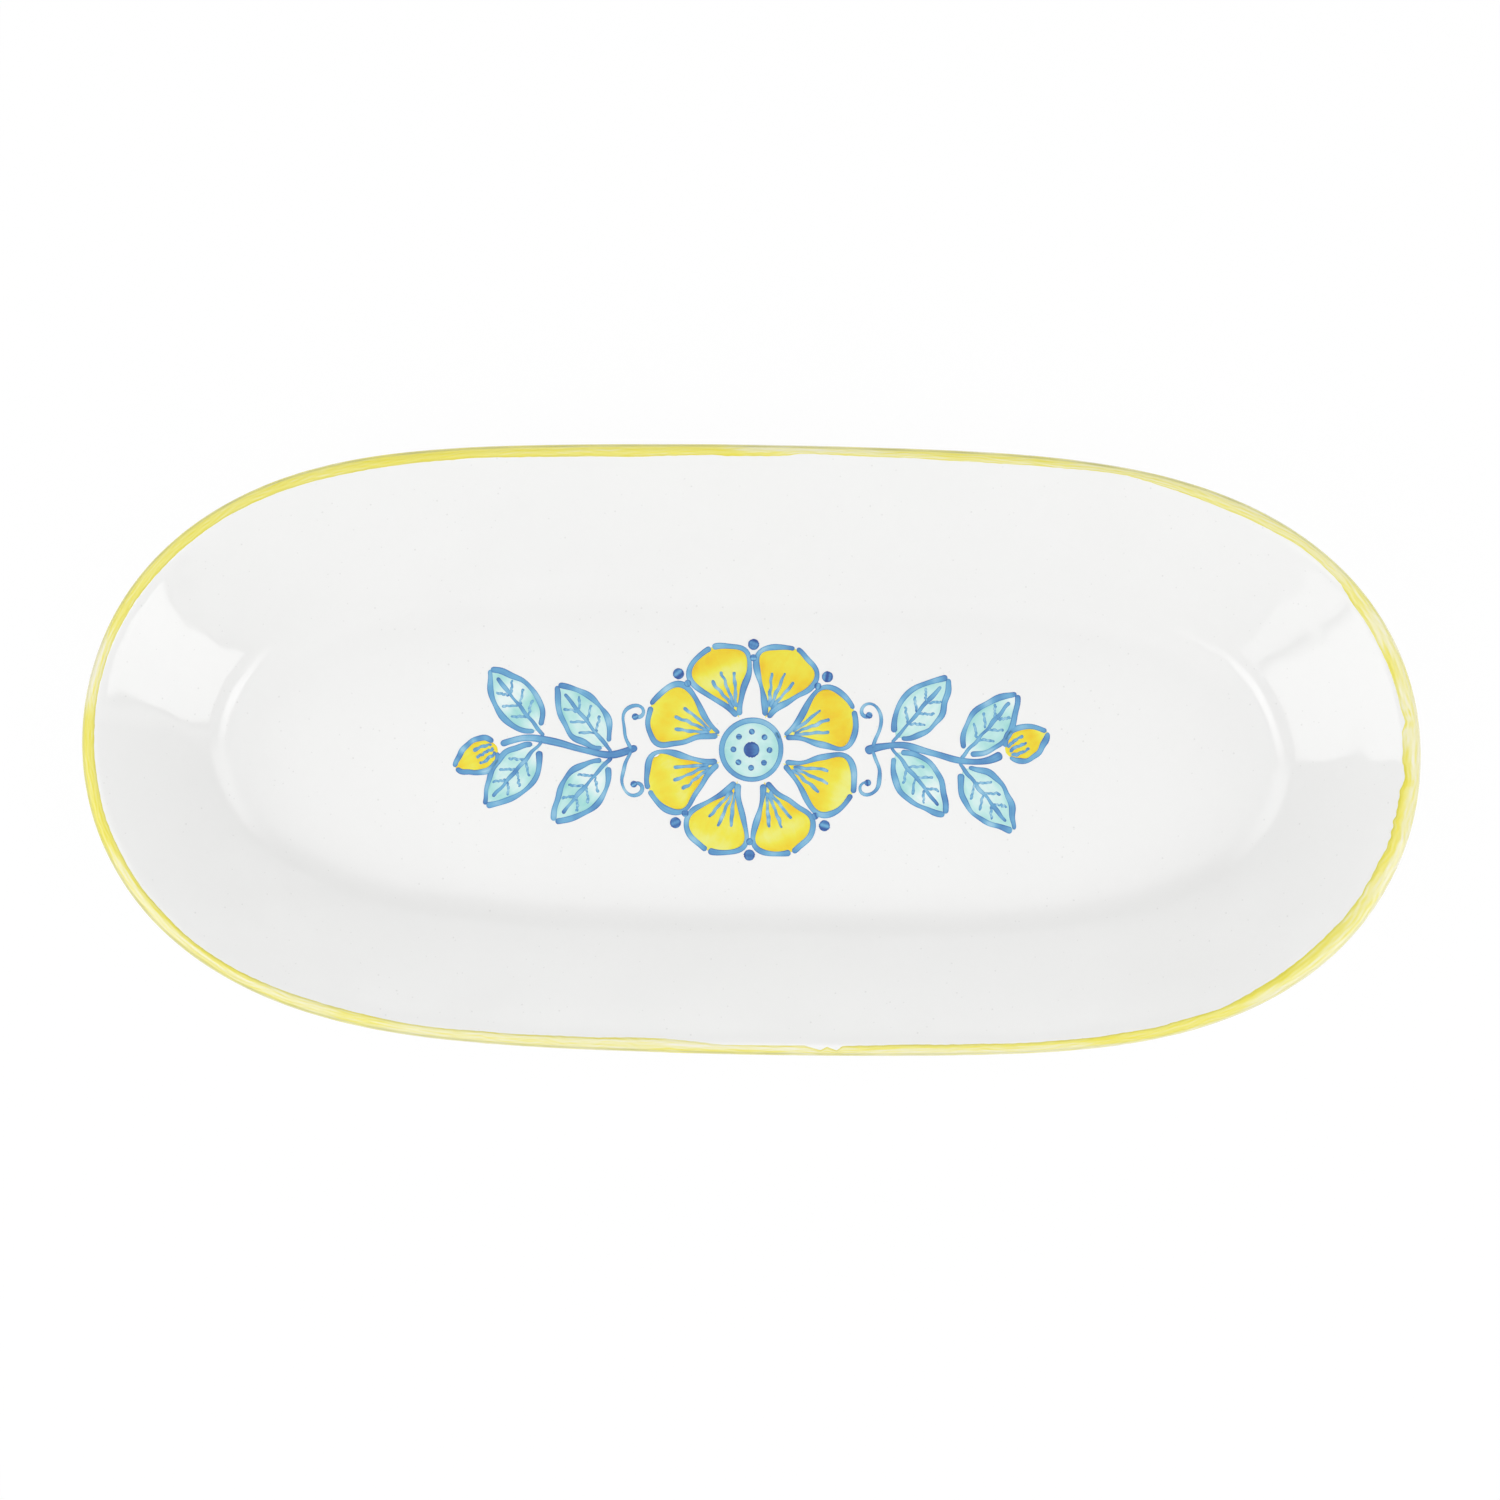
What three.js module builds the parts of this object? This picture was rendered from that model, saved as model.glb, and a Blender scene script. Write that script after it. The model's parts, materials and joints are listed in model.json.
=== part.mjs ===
// Oval serving platter in glazed earthenware, with a brushed yellow rim and a painted garland in its well.
// Millimetres, +Z up. The origin is the centre of the foot ring, on the surface that the platter stands on.
// X runs along the platter and Y across it.
import * as THREE from "three";

// Overall size, over the painted rim
const LENGTH = 450;
const WIDTH = 204.5;
const HEIGHT = 40;

// Plan of the rim: |x / half length| ^ SIDE_EXPONENT + |y / half width| ^ END_EXPONENT = 1
const SIDE_EXPONENT = 3.85; // well above 2, so the long sides run nearly straight
const END_EXPONENT = 2.02; // close to 2, so the ends are round
const SEGMENTS = 72;

// Section of the glazed platter. The wall ends in a full round, so its thickness is the lip's diameter.
const WALL_THICKNESS = 6;
const WALL_RUN = 55.5; // in plan, from the rim's edge in to the flat floor
const FOLD_RADIUS = 30; // hollow curve where the wall meets the floor
const FLOOR_THICKNESS = 7;

// Foot ring, under the fold
const FOOT_SET_OUT = 15; // in plan, from the flat floor's edge out to the ring's outer side
const FOOT_WIDTH = 7;
const FOOT_HEIGHT = 4; // depth of the recess that the ring encloses
const FOOT_FILLET = 3; // hollow between the wall's underside and the ring
const RECESS_FILLET = 1.6;
const TREAD_CHAMFER = 0.6;
const BARE_FOOT = 1; // height of the ring that is wiped free of glaze

// Coats
const GLAZE = 0.5;
const PAINT = 0.2;
const BAND_ON_WALL = 1; // how far the rim band runs down the wall inside the lip
const BAND_UNDER = 20; // degrees that the band wraps below the lip's outermost line

// Painted garland on the flat floor: one flower with a leafy sprig on each side
const FLOWER_MARGIN = 9; // from the petals' tips to the edge of the flat floor
const PETALS = 8;
const PETAL_GAP = 3;
const FLOWER_CENTRE_SHARE = 0.27; // of the flower's radius
const SPRIG_SHARE = 0.36; // of the floor that is left between the flower and the end of the floor
const STROKE_GAP = 1.5; // bare glaze left between neighbouring strokes
const STEM_WIDTH = 2.4;
const STEM_SWAY = 9;
const LEAF_PAIRS = 2;
const LEAF_LENGTH = 27;
const LEAF_GAP = 4.5; // between neighbouring leaves on one side of the stem, square to them
const LEAF_ANGLE = 50; // degrees from the line of the sprig
const BUD_LENGTH = 16;
const BUD_WIDTH = 11;

const white = new THREE.MeshStandardMaterial({ color: 0xf2f2f0, roughness: 0.12, metalness: 0 });
const clay = new THREE.MeshStandardMaterial({ color: 0xd9bd9c, roughness: 0.85, metalness: 0 });
const yellow = new THREE.MeshStandardMaterial({ color: 0xf2e05a, roughness: 0.2, metalness: 0 });
const gold = new THREE.MeshStandardMaterial({ color: 0xf6cf2a, roughness: 0.2, metalness: 0 });
const aqua = new THREE.MeshStandardMaterial({ color: 0xa9dedd, roughness: 0.2, metalness: 0 });
const blue = new THREE.MeshStandardMaterial({ color: 0x4a86c4, roughness: 0.2, metalness: 0 });

const platter = new THREE.Group();
platter.name = "oval_serving_platter";

// Rim plan, as evenly spaced points with each half axis taken as 1
class RimPlan extends THREE.Curve {
  getPoint(t, target = new THREE.Vector3()) {
    const c = Math.cos(2 * Math.PI * t);
    const s = Math.sin(2 * Math.PI * t);
    const x = Math.sign(c) * Math.abs(c) ** (2 / SIDE_EXPONENT);
    const y = Math.sign(s) * Math.abs(s) ** (2 / END_EXPONENT);
    return target.set((x * LENGTH) / 2, (y * WIDTH) / 2, 0);
  }
}
const rimPlan = new RimPlan();
rimPlan.arcLengthDivisions = 20000;
const plan = rimPlan.getSpacedPoints(SEGMENTS).slice(0, SEGMENTS);
const units = plan.map((p) => ({ x: (2 * p.x) / LENGTH, y: (2 * p.y) / WIDTH }));

// Section, worked out in (inset, z): the inset runs in plan from the rim's edge towards the centre
const QUARTER = Math.PI / 2;
const lipRadius = WALL_THICKNESS / 2;
const floorTop = FOOT_HEIGHT + FLOOR_THICKNESS;
const lip = { inset: lipRadius + PAINT, z: HEIGHT - PAINT - lipRadius };
const fold = { inset: WALL_RUN, z: floorTop + FOLD_RADIUS };

// The wall is the straight line that touches the lip's round from above and the fold's hollow from below
const across = fold.inset - lip.inset;
const up = fold.z - lip.z;
const wallSlope = Math.asin((FOLD_RADIUS + lipRadius) / Math.hypot(across, up)) - Math.atan2(up, across);

// The foot ring's sides, and the hollows that lead into them
const footOuter = WALL_RUN - FOOT_SET_OUT;
const footInner = footOuter + FOOT_WIDTH;
const bandEnd = -QUARTER - THREE.MathUtils.degToRad(BAND_UNDER);
const underWall = { inset: footOuter - FOOT_FILLET };
underWall.z =
  lip.z -
  (lipRadius + FOOT_FILLET + (underWall.inset - lip.inset) * Math.sin(wallSlope)) / Math.cos(wallSlope);
const recess = { inset: footInner + RECESS_FILLET, z: FOOT_HEIGHT - RECESS_FILLET };

// Points on a circle in the section: angle 0 is straight up, and a quarter turn on it points at the centre
function arc(centre, radius, from, to, steps) {
  return Array.from({ length: steps + 1 }, (_, i) => {
    const angle = from + ((to - from) * i) / steps;
    return {
      inset: centre.inset + radius * Math.sin(angle),
      z: centre.z + radius * Math.cos(angle),
    };
  });
}

// The lip at a depth under the glazed surface, from just inside the wall's top out to the band's lower edge
function lipSkin(depth) {
  const radius = lipRadius - depth;
  const over = arc(lip, radius, wallSlope, 0, 2);
  const wallTop = {
    inset: over[0].inset + BAND_ON_WALL * Math.cos(wallSlope),
    z: over[0].z - BAND_ON_WALL * Math.sin(wallSlope),
  };
  const outward = arc(lip, radius, 0, -QUARTER, 3).slice(1);
  const below = arc(lip, radius, -QUARTER, bandEnd, 1).slice(1);
  return [wallTop, ...over, ...outward, ...below];
}

// The main coat's face at a depth: centre of the floor, fold, wall, lip, underside, glaze line on the foot ring
function mainSkin(depth) {
  return [
    { z: floorTop - depth },
    ...arc(fold, FOLD_RADIUS + depth, Math.PI, Math.PI + wallSlope, 3),
    ...lipSkin(depth),
    ...arc(lip, lipRadius - depth, bandEnd, wallSlope - Math.PI, 2).slice(1),
    ...arc(underWall, FOOT_FILLET + depth, wallSlope, QUARTER, 3),
    { inset: footOuter + depth, z: BARE_FOOT },
  ];
}

// The recess inside the foot ring at a depth, from the glaze line on the ring to the centre
function recessSkin(depth) {
  return [
    { inset: footInner - depth, z: BARE_FOOT },
    ...arc(recess, RECESS_FILLET + depth, -QUARTER, 0, 2),
    { z: FOOT_HEIGHT + depth },
  ];
}

// The unglazed tread that the platter stands on
const tread = [
  { inset: footOuter + GLAZE, z: TREAD_CHAMFER },
  { inset: footOuter + GLAZE + TREAD_CHAMFER, z: 0 },
  { inset: footInner - GLAZE - TREAD_CHAMFER, z: 0 },
  { inset: footInner - GLAZE, z: TREAD_CHAMFER },
];

// Carries a section round the rim's plan. A point without an inset stands on the centre line, and a section
// that holds none is closed into a ring. Neighbouring coats share a face: the same points, split the same way.
function carry(section) {
  const positions = [];
  const rows = section.map((point) => {
    const first = positions.length / 3;
    if (point.inset === undefined) {
      positions.push(0, 0, point.z);
      return { point, centre: true, at: () => first };
    }
    for (const u of units) {
      positions.push(u.x * (LENGTH / 2 - point.inset), u.y * (WIDTH / 2 - point.inset), point.z);
    }
    return { point, centre: false, at: (k) => first + (k % SEGMENTS) };
  });
  const leads = (p, q) => p.z > q.z || (p.z === q.z && p.inset < q.inset);
  const strips = rows[0].centre ? rows.length - 1 : rows.length;
  const index = [];
  for (let r = 0; r < strips; r++) {
    const a = rows[r];
    const b = rows[(r + 1) % rows.length];
    for (let k = 0; k < SEGMENTS; k++) {
      const [a0, a1, b0, b1] = [a.at(k), a.at(k + 1), b.at(k), b.at(k + 1)];
      if (a.centre) index.push(a0, b0, b1);
      else if (b.centre) index.push(a0, b0, a1);
      else if (leads(a.point, b.point)) index.push(a0, b0, b1, a0, b1, a1);
      else index.push(a0, b0, a1, a1, b0, b1);
    }
  }
  const geometry = new THREE.BufferGeometry();
  geometry.setAttribute("position", new THREE.Float32BufferAttribute(positions, 3));
  geometry.setIndex(index);
  geometry.computeVertexNormals();
  return geometry;
}

function add(parent, name, geometry, material) {
  const mesh = new THREE.Mesh(geometry, material);
  mesh.name = name;
  parent.add(mesh);
  return mesh;
}

// The fired body, its two glaze coats and the band round the lip
add(platter, "clay_body", carry([...mainSkin(GLAZE), ...tread, ...recessSkin(GLAZE)]), clay);
add(platter, "glaze_coat", carry([...mainSkin(0), ...mainSkin(GLAZE).reverse()]), white);
add(platter, "foot_recess_glaze", carry([...recessSkin(GLAZE).reverse(), ...recessSkin(0)]), white);
add(platter, "rim_band", carry([...lipSkin(-PAINT), ...lipSkin(0).reverse()]), yellow);

// Sizes of the garland, from the floor that it lies on
const flowerRadius = WIDTH / 2 - WALL_RUN - FLOWER_MARGIN;
const flowerCentre = flowerRadius * FLOWER_CENTRE_SHARE;
const sprigStart = flowerRadius + STROKE_GAP;
const sprigLength = SPRIG_SHARE * (LENGTH / 2 - WALL_RUN - sprigStart);
const leafHeading = THREE.MathUtils.degToRad(LEAF_ANGLE);
const leafPitch = sprigLength / LEAF_PAIRS;
const leafWidth = leafPitch * Math.sin(leafHeading) - LEAF_GAP;

// A stroke's outline, pointed at both ends: it runs along X from 0 to its length, with a half width at each share
function blade(length, halfWidth, steps) {
  const shares = Array.from({ length: steps - 1 }, (_, i) => (i + 1) / steps);
  const lower = shares.map((s) => new THREE.Vector2(length * s, -halfWidth(s)));
  const upper = shares.map((s) => new THREE.Vector2(length * s, halfWidth(s))).reverse();
  return new THREE.Shape([new THREE.Vector2(0, 0), ...lower, new THREE.Vector2(length, 0), ...upper]);
}

// A stroke's outline of one width along a plane curve
function ribbon(curve, width, steps) {
  const side = (sign) =>
    Array.from({ length: steps + 1 }, (_, i) => {
      const p = curve.getPointAt(i / steps);
      const t = curve.getTangentAt(i / steps);
      return new THREE.Vector2(p.x - (sign * t.y * width) / 2, p.y + (sign * t.x * width) / 2);
    });
  return new THREE.Shape([...side(-1), ...side(1).reverse()]);
}

// Lays a stroke on the floor as a thin pad, turned about its own start
function lay(parent, name, shape, material, x, y, turn) {
  const geometry = new THREE.ExtrudeGeometry(shape, { depth: PAINT, bevelEnabled: false, curveSegments: 6 });
  const pad = add(parent, name, geometry, material);
  pad.position.set(x, y, floorTop);
  pad.rotation.z = turn;
  return pad;
}

// The flower: a round centre, and petals that each fill their own sector but for the gap
const sector = Math.PI / PETALS;
const petalStart = flowerCentre + STROKE_GAP;
const petalLength = flowerRadius - petalStart;
const petalHalf = (s) => {
  const room = (petalStart + petalLength * s) * Math.tan(sector) - PETAL_GAP / 2;
  return Math.sin(Math.PI * s ** 1.5) ** 0.7 * room;
};
const disc = new THREE.Shape().absarc(0, 0, flowerCentre, 0, 2 * Math.PI);
lay(platter, "flower_centre", disc, aqua, 0, 0, 0);
for (let i = 0; i < PETALS; i++) {
  const turn = (2 * i + 1) * sector;
  const [x, y] = [petalStart * Math.cos(turn), petalStart * Math.sin(turn)];
  lay(platter, "petal_" + (i + 1), blade(petalLength, petalHalf, 12), gold, x, y, turn);
}

// A sprig on each side of the flower, the left one being the right one turned half round
const stem = new THREE.CubicBezierCurve(
  new THREE.Vector2(sprigStart, 0),
  new THREE.Vector2(sprigStart + sprigLength * 0.35, STEM_SWAY),
  new THREE.Vector2(sprigStart + sprigLength * 0.65, -STEM_SWAY),
  new THREE.Vector2(sprigStart + sprigLength, 0),
);
const leafHalf = (s) => (leafWidth / 2) * Math.sin(Math.PI * s ** 0.85) ** 0.9;
const budHalf = (s) => (BUD_WIDTH / 2) * Math.sin(Math.PI * s ** 0.75) ** 0.8;

for (const [side, turn] of [["right", 0], ["left", Math.PI]]) {
  const sprig = new THREE.Group();
  sprig.rotation.z = turn;
  platter.add(sprig);
  lay(sprig, "stem_" + side, ribbon(stem, STEM_WIDTH, 14), blue, 0, 0, 0);
  for (let i = 0; i < 2 * LEAF_PAIRS; i++) {
    const hand = i % 2 ? -1 : 1;
    const share = (Math.floor(i / 2) + 0.45) / LEAF_PAIRS;
    const root = stem.getPointAt(share);
    const along = stem.getTangentAt(share);
    const away = STEM_WIDTH / 2 + STROKE_GAP;
    const [x, y] = [root.x - hand * along.y * away, root.y + hand * along.x * away];
    lay(sprig, "leaf_" + side + "_" + (i + 1), blade(LEAF_LENGTH, leafHalf, 9), aqua, x, y, hand * leafHeading);
  }
  const tip = stem.getPointAt(1);
  const along = stem.getTangentAt(1);
  const [x, y] = [tip.x + along.x * STROKE_GAP, tip.y + along.y * STROKE_GAP];
  lay(sprig, "bud_" + side, blade(BUD_LENGTH, budHalf, 10), gold, x, y, Math.atan2(along.y, along.x));
}

export default platter;
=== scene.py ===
# %% [markdown]
# # An oval serving platter, glazed and hand painted
# The real platter is one piece of fired earthenware: a flat floor, a wall that leans out, a round lip and a
# foot ring below. It is dipped in glossy white glaze, a brush runs yellow round the lip, and a garland is
# painted in the well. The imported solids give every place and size, so they are loaded first, and each finer
# piece made here stands where its solid stands.

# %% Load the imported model
import json

import bpy
import numpy as np
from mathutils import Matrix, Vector

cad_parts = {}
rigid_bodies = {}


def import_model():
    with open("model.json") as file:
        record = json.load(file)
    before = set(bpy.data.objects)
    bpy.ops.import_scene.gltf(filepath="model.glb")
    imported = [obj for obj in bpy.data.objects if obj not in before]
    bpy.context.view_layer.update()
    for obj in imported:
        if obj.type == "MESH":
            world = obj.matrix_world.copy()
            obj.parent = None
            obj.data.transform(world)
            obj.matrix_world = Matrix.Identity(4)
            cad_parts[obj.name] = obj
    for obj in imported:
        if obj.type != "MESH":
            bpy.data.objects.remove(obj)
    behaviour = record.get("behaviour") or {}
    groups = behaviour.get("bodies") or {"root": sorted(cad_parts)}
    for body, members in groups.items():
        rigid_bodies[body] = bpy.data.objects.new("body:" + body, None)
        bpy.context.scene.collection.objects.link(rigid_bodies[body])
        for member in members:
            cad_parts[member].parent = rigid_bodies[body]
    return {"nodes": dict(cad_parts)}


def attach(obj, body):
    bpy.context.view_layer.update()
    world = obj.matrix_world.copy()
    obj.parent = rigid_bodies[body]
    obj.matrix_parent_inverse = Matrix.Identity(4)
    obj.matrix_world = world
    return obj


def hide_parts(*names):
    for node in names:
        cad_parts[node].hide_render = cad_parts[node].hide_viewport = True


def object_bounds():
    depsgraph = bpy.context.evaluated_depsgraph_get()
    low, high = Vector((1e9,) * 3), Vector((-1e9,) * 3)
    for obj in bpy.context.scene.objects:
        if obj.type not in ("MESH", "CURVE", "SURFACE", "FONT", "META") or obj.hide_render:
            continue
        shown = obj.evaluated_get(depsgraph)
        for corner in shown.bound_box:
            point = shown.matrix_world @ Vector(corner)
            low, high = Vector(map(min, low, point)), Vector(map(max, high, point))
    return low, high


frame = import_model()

cad_box = [list(corner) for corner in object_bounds()]
size = np.subtract(cad_box[1], cad_box[0]) * 1000
print("solids loaded:", len(frame["nodes"]), "box in mm:", size.round(1).tolist())

# %% [markdown]
# ## The plan of the rim
# From above, the rim is an oblong with nearly straight sides and round ends. Arcs joined to lines would do,
# but the curvature would jump at each joint, which a glossy wall shows as a kink in its reflections. A
# superellipse bends smoothly all the way, so one is used, with its own exponents for sides and ends. A
# hand-made rim also wavers, so a few slow waves are added.

# %% Points round the rim
MM = 0.001  # lengths are written in millimetres, and turned into metres when a mesh is made
LENGTH, WIDTH, HEIGHT = size
HALF = np.array([LENGTH, WIDTH]) / 2
SIDE_EXPONENT, END_EXPONENT = 3.85, 2.02
COLUMNS = 576  # points round the glaze
FINE_POINTS = 40001  # points between which evenly spaced ones are picked
OUTLINE_WAVE = 0.15  # height in mm of each slow wave of the rim
# Each row: how many waves there are round the rim, and their phase
OUTLINE_TURNS = np.array([(1, -0.5), (3, -2.7), (4, 1.2), (6, -2.6), (8, -0.5)])
WAVER_REACH = 40.0  # mm in from the rim, where the waver has died out


def distances(path):
    """How far along the path each of its points lies: the running sum of its steps."""
    return np.concatenate([[0], np.cumsum(np.linalg.norm(np.diff(path, axis=0), axis=1))])


def picked(path, gone, at):
    """The path's points at given distances along it."""
    return np.stack([np.interp(at, gone, axis) for axis in path.T], -1)


def rim_plan(count):
    """Evenly spaced points of |x|^a + |y|^b = 1, from x = cos^(2/a) and y = sin^(2/b) with their signs, and
    the rim's length."""
    turn = np.linspace(0, 2 * np.pi, FINE_POINTS)
    axes = ((np.cos(turn), SIDE_EXPONENT), (np.sin(turn), END_EXPONENT))
    plan = np.stack([np.sign(axis) * np.abs(axis) ** (2 / power) for axis, power in axes], 1)
    gone = distances(plan * HALF)
    return picked(plan, gone, np.linspace(0, gone[-1], count, endpoint=False)), gone[-1]


def outward(loop):
    """Unit vectors out of a closed plane loop: the central difference, turned back by a quarter."""
    step = np.roll(loop, -1, 0) - np.roll(loop, 1, 0)
    step /= np.linalg.norm(step, axis=1, keepdims=True)
    return np.stack([step[:, 1], -step[:, 0]], 1)


def outline_waver(count):
    """Sum of waves, height cos(2 pi n share + phase), at evenly spaced shares of the rim."""
    share = np.arange(count)[:, None] / count
    waves, phases = OUTLINE_TURNS.T
    return OUTLINE_WAVE * np.cos(2 * np.pi * waves * share + phases).sum(1)


rim_unit, rim_length = rim_plan(COLUMNS)
print("rim length in mm:", round(rim_length), "waver in mm:", np.ptp(outline_waver(COLUMNS)).round(2))

# %% [markdown]
# ## The section
# Cut across, the platter is a floor, a hollow fold, a straight wall, a round lip, the wall's underside and
# a foot ring. A section could be drawn freehand, but arcs that touch are what a mould and a rib leave, and
# they repeat the solids. Just before the lip the wall rolls over a little, as a wet sponge leaves it. A row
# of a section holds the inset from the rim, the height, and a share that shrinks a ring to the middle.

# %% Arcs and lines of the section
WALL_RUN, FOLD_RADIUS, LIP_RADIUS = 55.5, 30.0, 3.0
ROLL_RADIUS, LIP_ROLL, ROLL_ROWS = 30.0, np.radians(8), 8  # the wall rolls over before it meets the lip
FLOOR_TOP, FOOT_HEIGHT, BARE_FOOT = 11.0, 4.0, 1.0
FOOT_OUTER, FOOT_INNER, FOOT_FILLET, RECESS_FILLET, TREAD_CHAMFER = 40.5, 47.5, 3.0, 1.6, 0.6
GLAZE, PAINT = 0.5, 0.2
QUARTER = np.pi / 2

lip = np.array([LIP_RADIUS + PAINT, HEIGHT - PAINT - LIP_RADIUS])
fold = np.array([WALL_RUN, FLOOR_TOP + FOLD_RADIUS])
across, up = fold - lip
slope = np.arcsin((FOLD_RADIUS + LIP_RADIUS) / np.hypot(across, up)) - np.arctan2(up, across)
square_to_wall = np.array([np.sin(slope), np.cos(slope)])
lip = lip - (ROLL_RADIUS - LIP_RADIUS) * (1 - np.cos(LIP_ROLL)) * square_to_wall
roll = lip - (ROLL_RADIUS - LIP_RADIUS) * np.array([np.sin(slope - LIP_ROLL), np.cos(slope - LIP_ROLL)])
under_inset = FOOT_OUTER - FOOT_FILLET
under_drop = (LIP_RADIUS + FOOT_FILLET + (under_inset - lip[0]) * np.sin(slope)) / np.cos(slope)
under = np.array([under_inset, lip[1] - under_drop])
recess = np.array([FOOT_INNER + RECESS_FILLET, FOOT_HEIGHT - RECESS_FILLET])


def arc(centre, radius, start, stop, count):
    """Points at centre + radius (sin a, cos a): angle 0 points up, and a quarter turn on inwards."""
    a = np.linspace(start, stop, count)
    return centre + radius * np.stack([np.sin(a), np.cos(a)], 1)


def between(a, b, count):
    """Points on the straight line from a to b, without its ends."""
    t = np.linspace(0, 1, count + 2)[1:-1, None]
    return np.asarray(a) * (1 - t) + np.asarray(b) * t


def rows(points, share=1.0):
    """Section points, or one point again and again, with the share of the ring that each row keeps."""
    points, share = np.broadcast_arrays(points, np.reshape(share, (-1, 1)))
    return np.column_stack([points, share[:, 0]])


def main_skin(depth, floor, curve, wall, lip_count, below):
    """The glazed face at a depth, from the floor's middle to the glaze line, with the rows in each part."""
    flat = rows([WALL_RUN, FLOOR_TOP - depth], np.linspace(0, 1, floor, endpoint=False))
    hollow = arc(fold, FOLD_RADIUS + depth, np.pi, np.pi + slope, curve)
    rolled = arc(roll, ROLL_RADIUS - depth, slope, slope - LIP_ROLL, ROLL_ROWS)
    over = arc(lip, LIP_RADIUS - depth, slope - LIP_ROLL, slope - np.pi, lip_count + 1)[1:]
    into_foot = arc(under, FOOT_FILLET + depth, slope, QUARTER, below)
    foot = np.array([[FOOT_OUTER + depth, BARE_FOOT]])
    parts = [hollow, between(hollow[-1], rolled[0], wall), rolled, over,
             between(over[-1], into_foot[0], wall // 2), into_foot, between(into_foot[-1], foot[0], 2), foot]
    return np.vstack([flat, rows(np.vstack(parts))])


def recess_skin(depth, curve, floor):
    """The face of the recess inside the foot ring, from the glaze line on the ring to the middle."""
    side = np.array([[FOOT_INNER - depth, BARE_FOOT]])
    hollow = arc(recess, RECESS_FILLET + depth, -QUARTER, 0, curve)
    flat = rows([recess[0], FOOT_HEIGHT + depth], np.linspace(1, 0, floor + 1)[1:])
    return np.vstack([rows(np.vstack([side, hollow])), flat])


print("wall slope in degrees:", np.degrees(slope).round(2))

# %% [markdown]
# ## The hand in the clay
# The reflections on the real walls have wandering edges, because the clay isn't quite true. Bump in the
# material would move only the light, so the surface itself is moved, by tenths of a millimetre. Long and
# short waves come from a seeded generator, the same in each run. The end walls sag a little between lip and
# fold, and hold a few soft dents.

# %% Unevenness of the surface
WAVES = ((16, 22, 64, 0.006), (14, 9, 18, 0.0055))  # number, shortest and longest in mm, steepest rise of one
FLOOR_SHARE = 0.15  # the floor was pressed flat, so it keeps little of the waves
WALL_FROM, WALL_OVER = 0.8, 1.2  # where the waves grow, in the measure of the plan: 1 is the floor's edge
SAG = ((4.5, 0.45), (12, -0.40), (32, -0.25))  # mm in from the rim, and how far the end walls rise there
SAG_SPREAD, SAG_STARTS, SAG_FULL = 6.0, 0.82, 0.90  # in mm, and in shares of the half length
# Each row: the place of a soft dent and its height in mm
DENTS = np.array([(-199, 56, 0.3), (-181, 6, 0.15), (-190, -5, -0.25), (169, 37, -0.2), (198, 46, -0.25)])
STEADY_UP_TO, STEADY_EASE = 1.0, 8.0  # mm of height that stay true, and over which all of it comes in
MID_WALL = 20.0  # mm in from the rim

hand = np.random.default_rng(11)
drawn = [(np.full(count, steep), hand.uniform(shortest, longest, count), hand.uniform(0, np.pi, count),
          hand.uniform(0, 2 * np.pi, count)) for count, shortest, longest, steep in WAVES]
wave_steep, wave_length, wave_turn, wave_phase = (np.concatenate(values) for values in zip(*drawn))


def smooth(share):
    """3 s^2 - 2 s^3 of a share that is held between 0 and 1."""
    share = np.clip(share, 0, 1)
    return share * share * (3 - 2 * share)


def unevenness(points):
    """Plane waves, steepness l / 2 pi sin(2 pi (x cos t + y sin t) / l + phase), less on the floor, and a
    bell for each dent."""
    x, y = points[..., :1], points[..., 1:]
    ahead = (x * np.cos(wave_turn) + y * np.sin(wave_turn)) / wave_length
    waves = wave_steep * wave_length / (2 * np.pi) * np.sin(2 * np.pi * ahead + wave_phase)
    far, wide = np.moveaxis(np.abs(points) / (HALF - WALL_RUN), -1, 0)
    on_wall = smooth((far ** SIDE_EXPONENT + wide ** END_EXPONENT - WALL_FROM) / WALL_OVER)
    apart = (x - DENTS[:, 0]) ** 2 + (y - DENTS[:, 1]) ** 2
    bells = np.exp(-apart / (2 * SAG_SPREAD ** 2)) @ DENTS[:, 2]
    return bells + waves.sum(-1) * (FLOOR_SHARE + (1 - FLOOR_SHARE) * on_wall)


def end_sag(inset, along):
    """Sum of bells of the inset, height exp(-((inset - place) / spread)^2 / 2), which grows to the ends."""
    bells = sum(height * np.exp(-(((inset - place) / SAG_SPREAD) ** 2) / 2) for place, height in SAG)
    return bells * smooth((np.abs(along) - SAG_STARTS) / (SAG_FULL - SAG_STARTS))


def rim_push(count, inset):
    """How far the rim's waver moves points outwards: all of it at the rim, none at the waver's reach."""
    push = outline_waver(count)[:, None] * outward(rim_plan(count)[0] * HALF)
    return push * np.clip(1 - inset / WAVER_REACH, 0, 1)[..., None]


def carried(inset, z, share, count):
    """Rings x = ux (half length - inset) share and y = uy (half width - inset) share, with the waver and the
    unevenness."""
    unit = rim_plan(count)[0]
    flat = (unit * (HALF - inset[..., None]) + rim_push(count, inset)) * share[..., None]
    lift = unevenness(flat) + end_sag(inset, unit[:, 0])
    lift = lift * np.clip((z - STEADY_UP_TO) / STEADY_EASE, 0, 1)
    return np.concatenate([flat, (z + lift)[..., None]], -1)


heights = unevenness(rim_unit * (HALF - MID_WALL))
print("unevenness half way up the wall, in mm:", heights.min().round(2), "to", heights.max().round(2))

# %% [markdown]
# ## From rings to a piece
# A ring of points for each row makes a grid, and neighbouring rings are joined with four-cornered faces.
# Rings at the middle shrink to points, which close the solid with fans of triangles. Blender's Spin tool
# turns a profile only round a circle, so the grid is worked out here. A solid whose volume comes out
# negative is inside out, and its faces are turned round.

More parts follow.
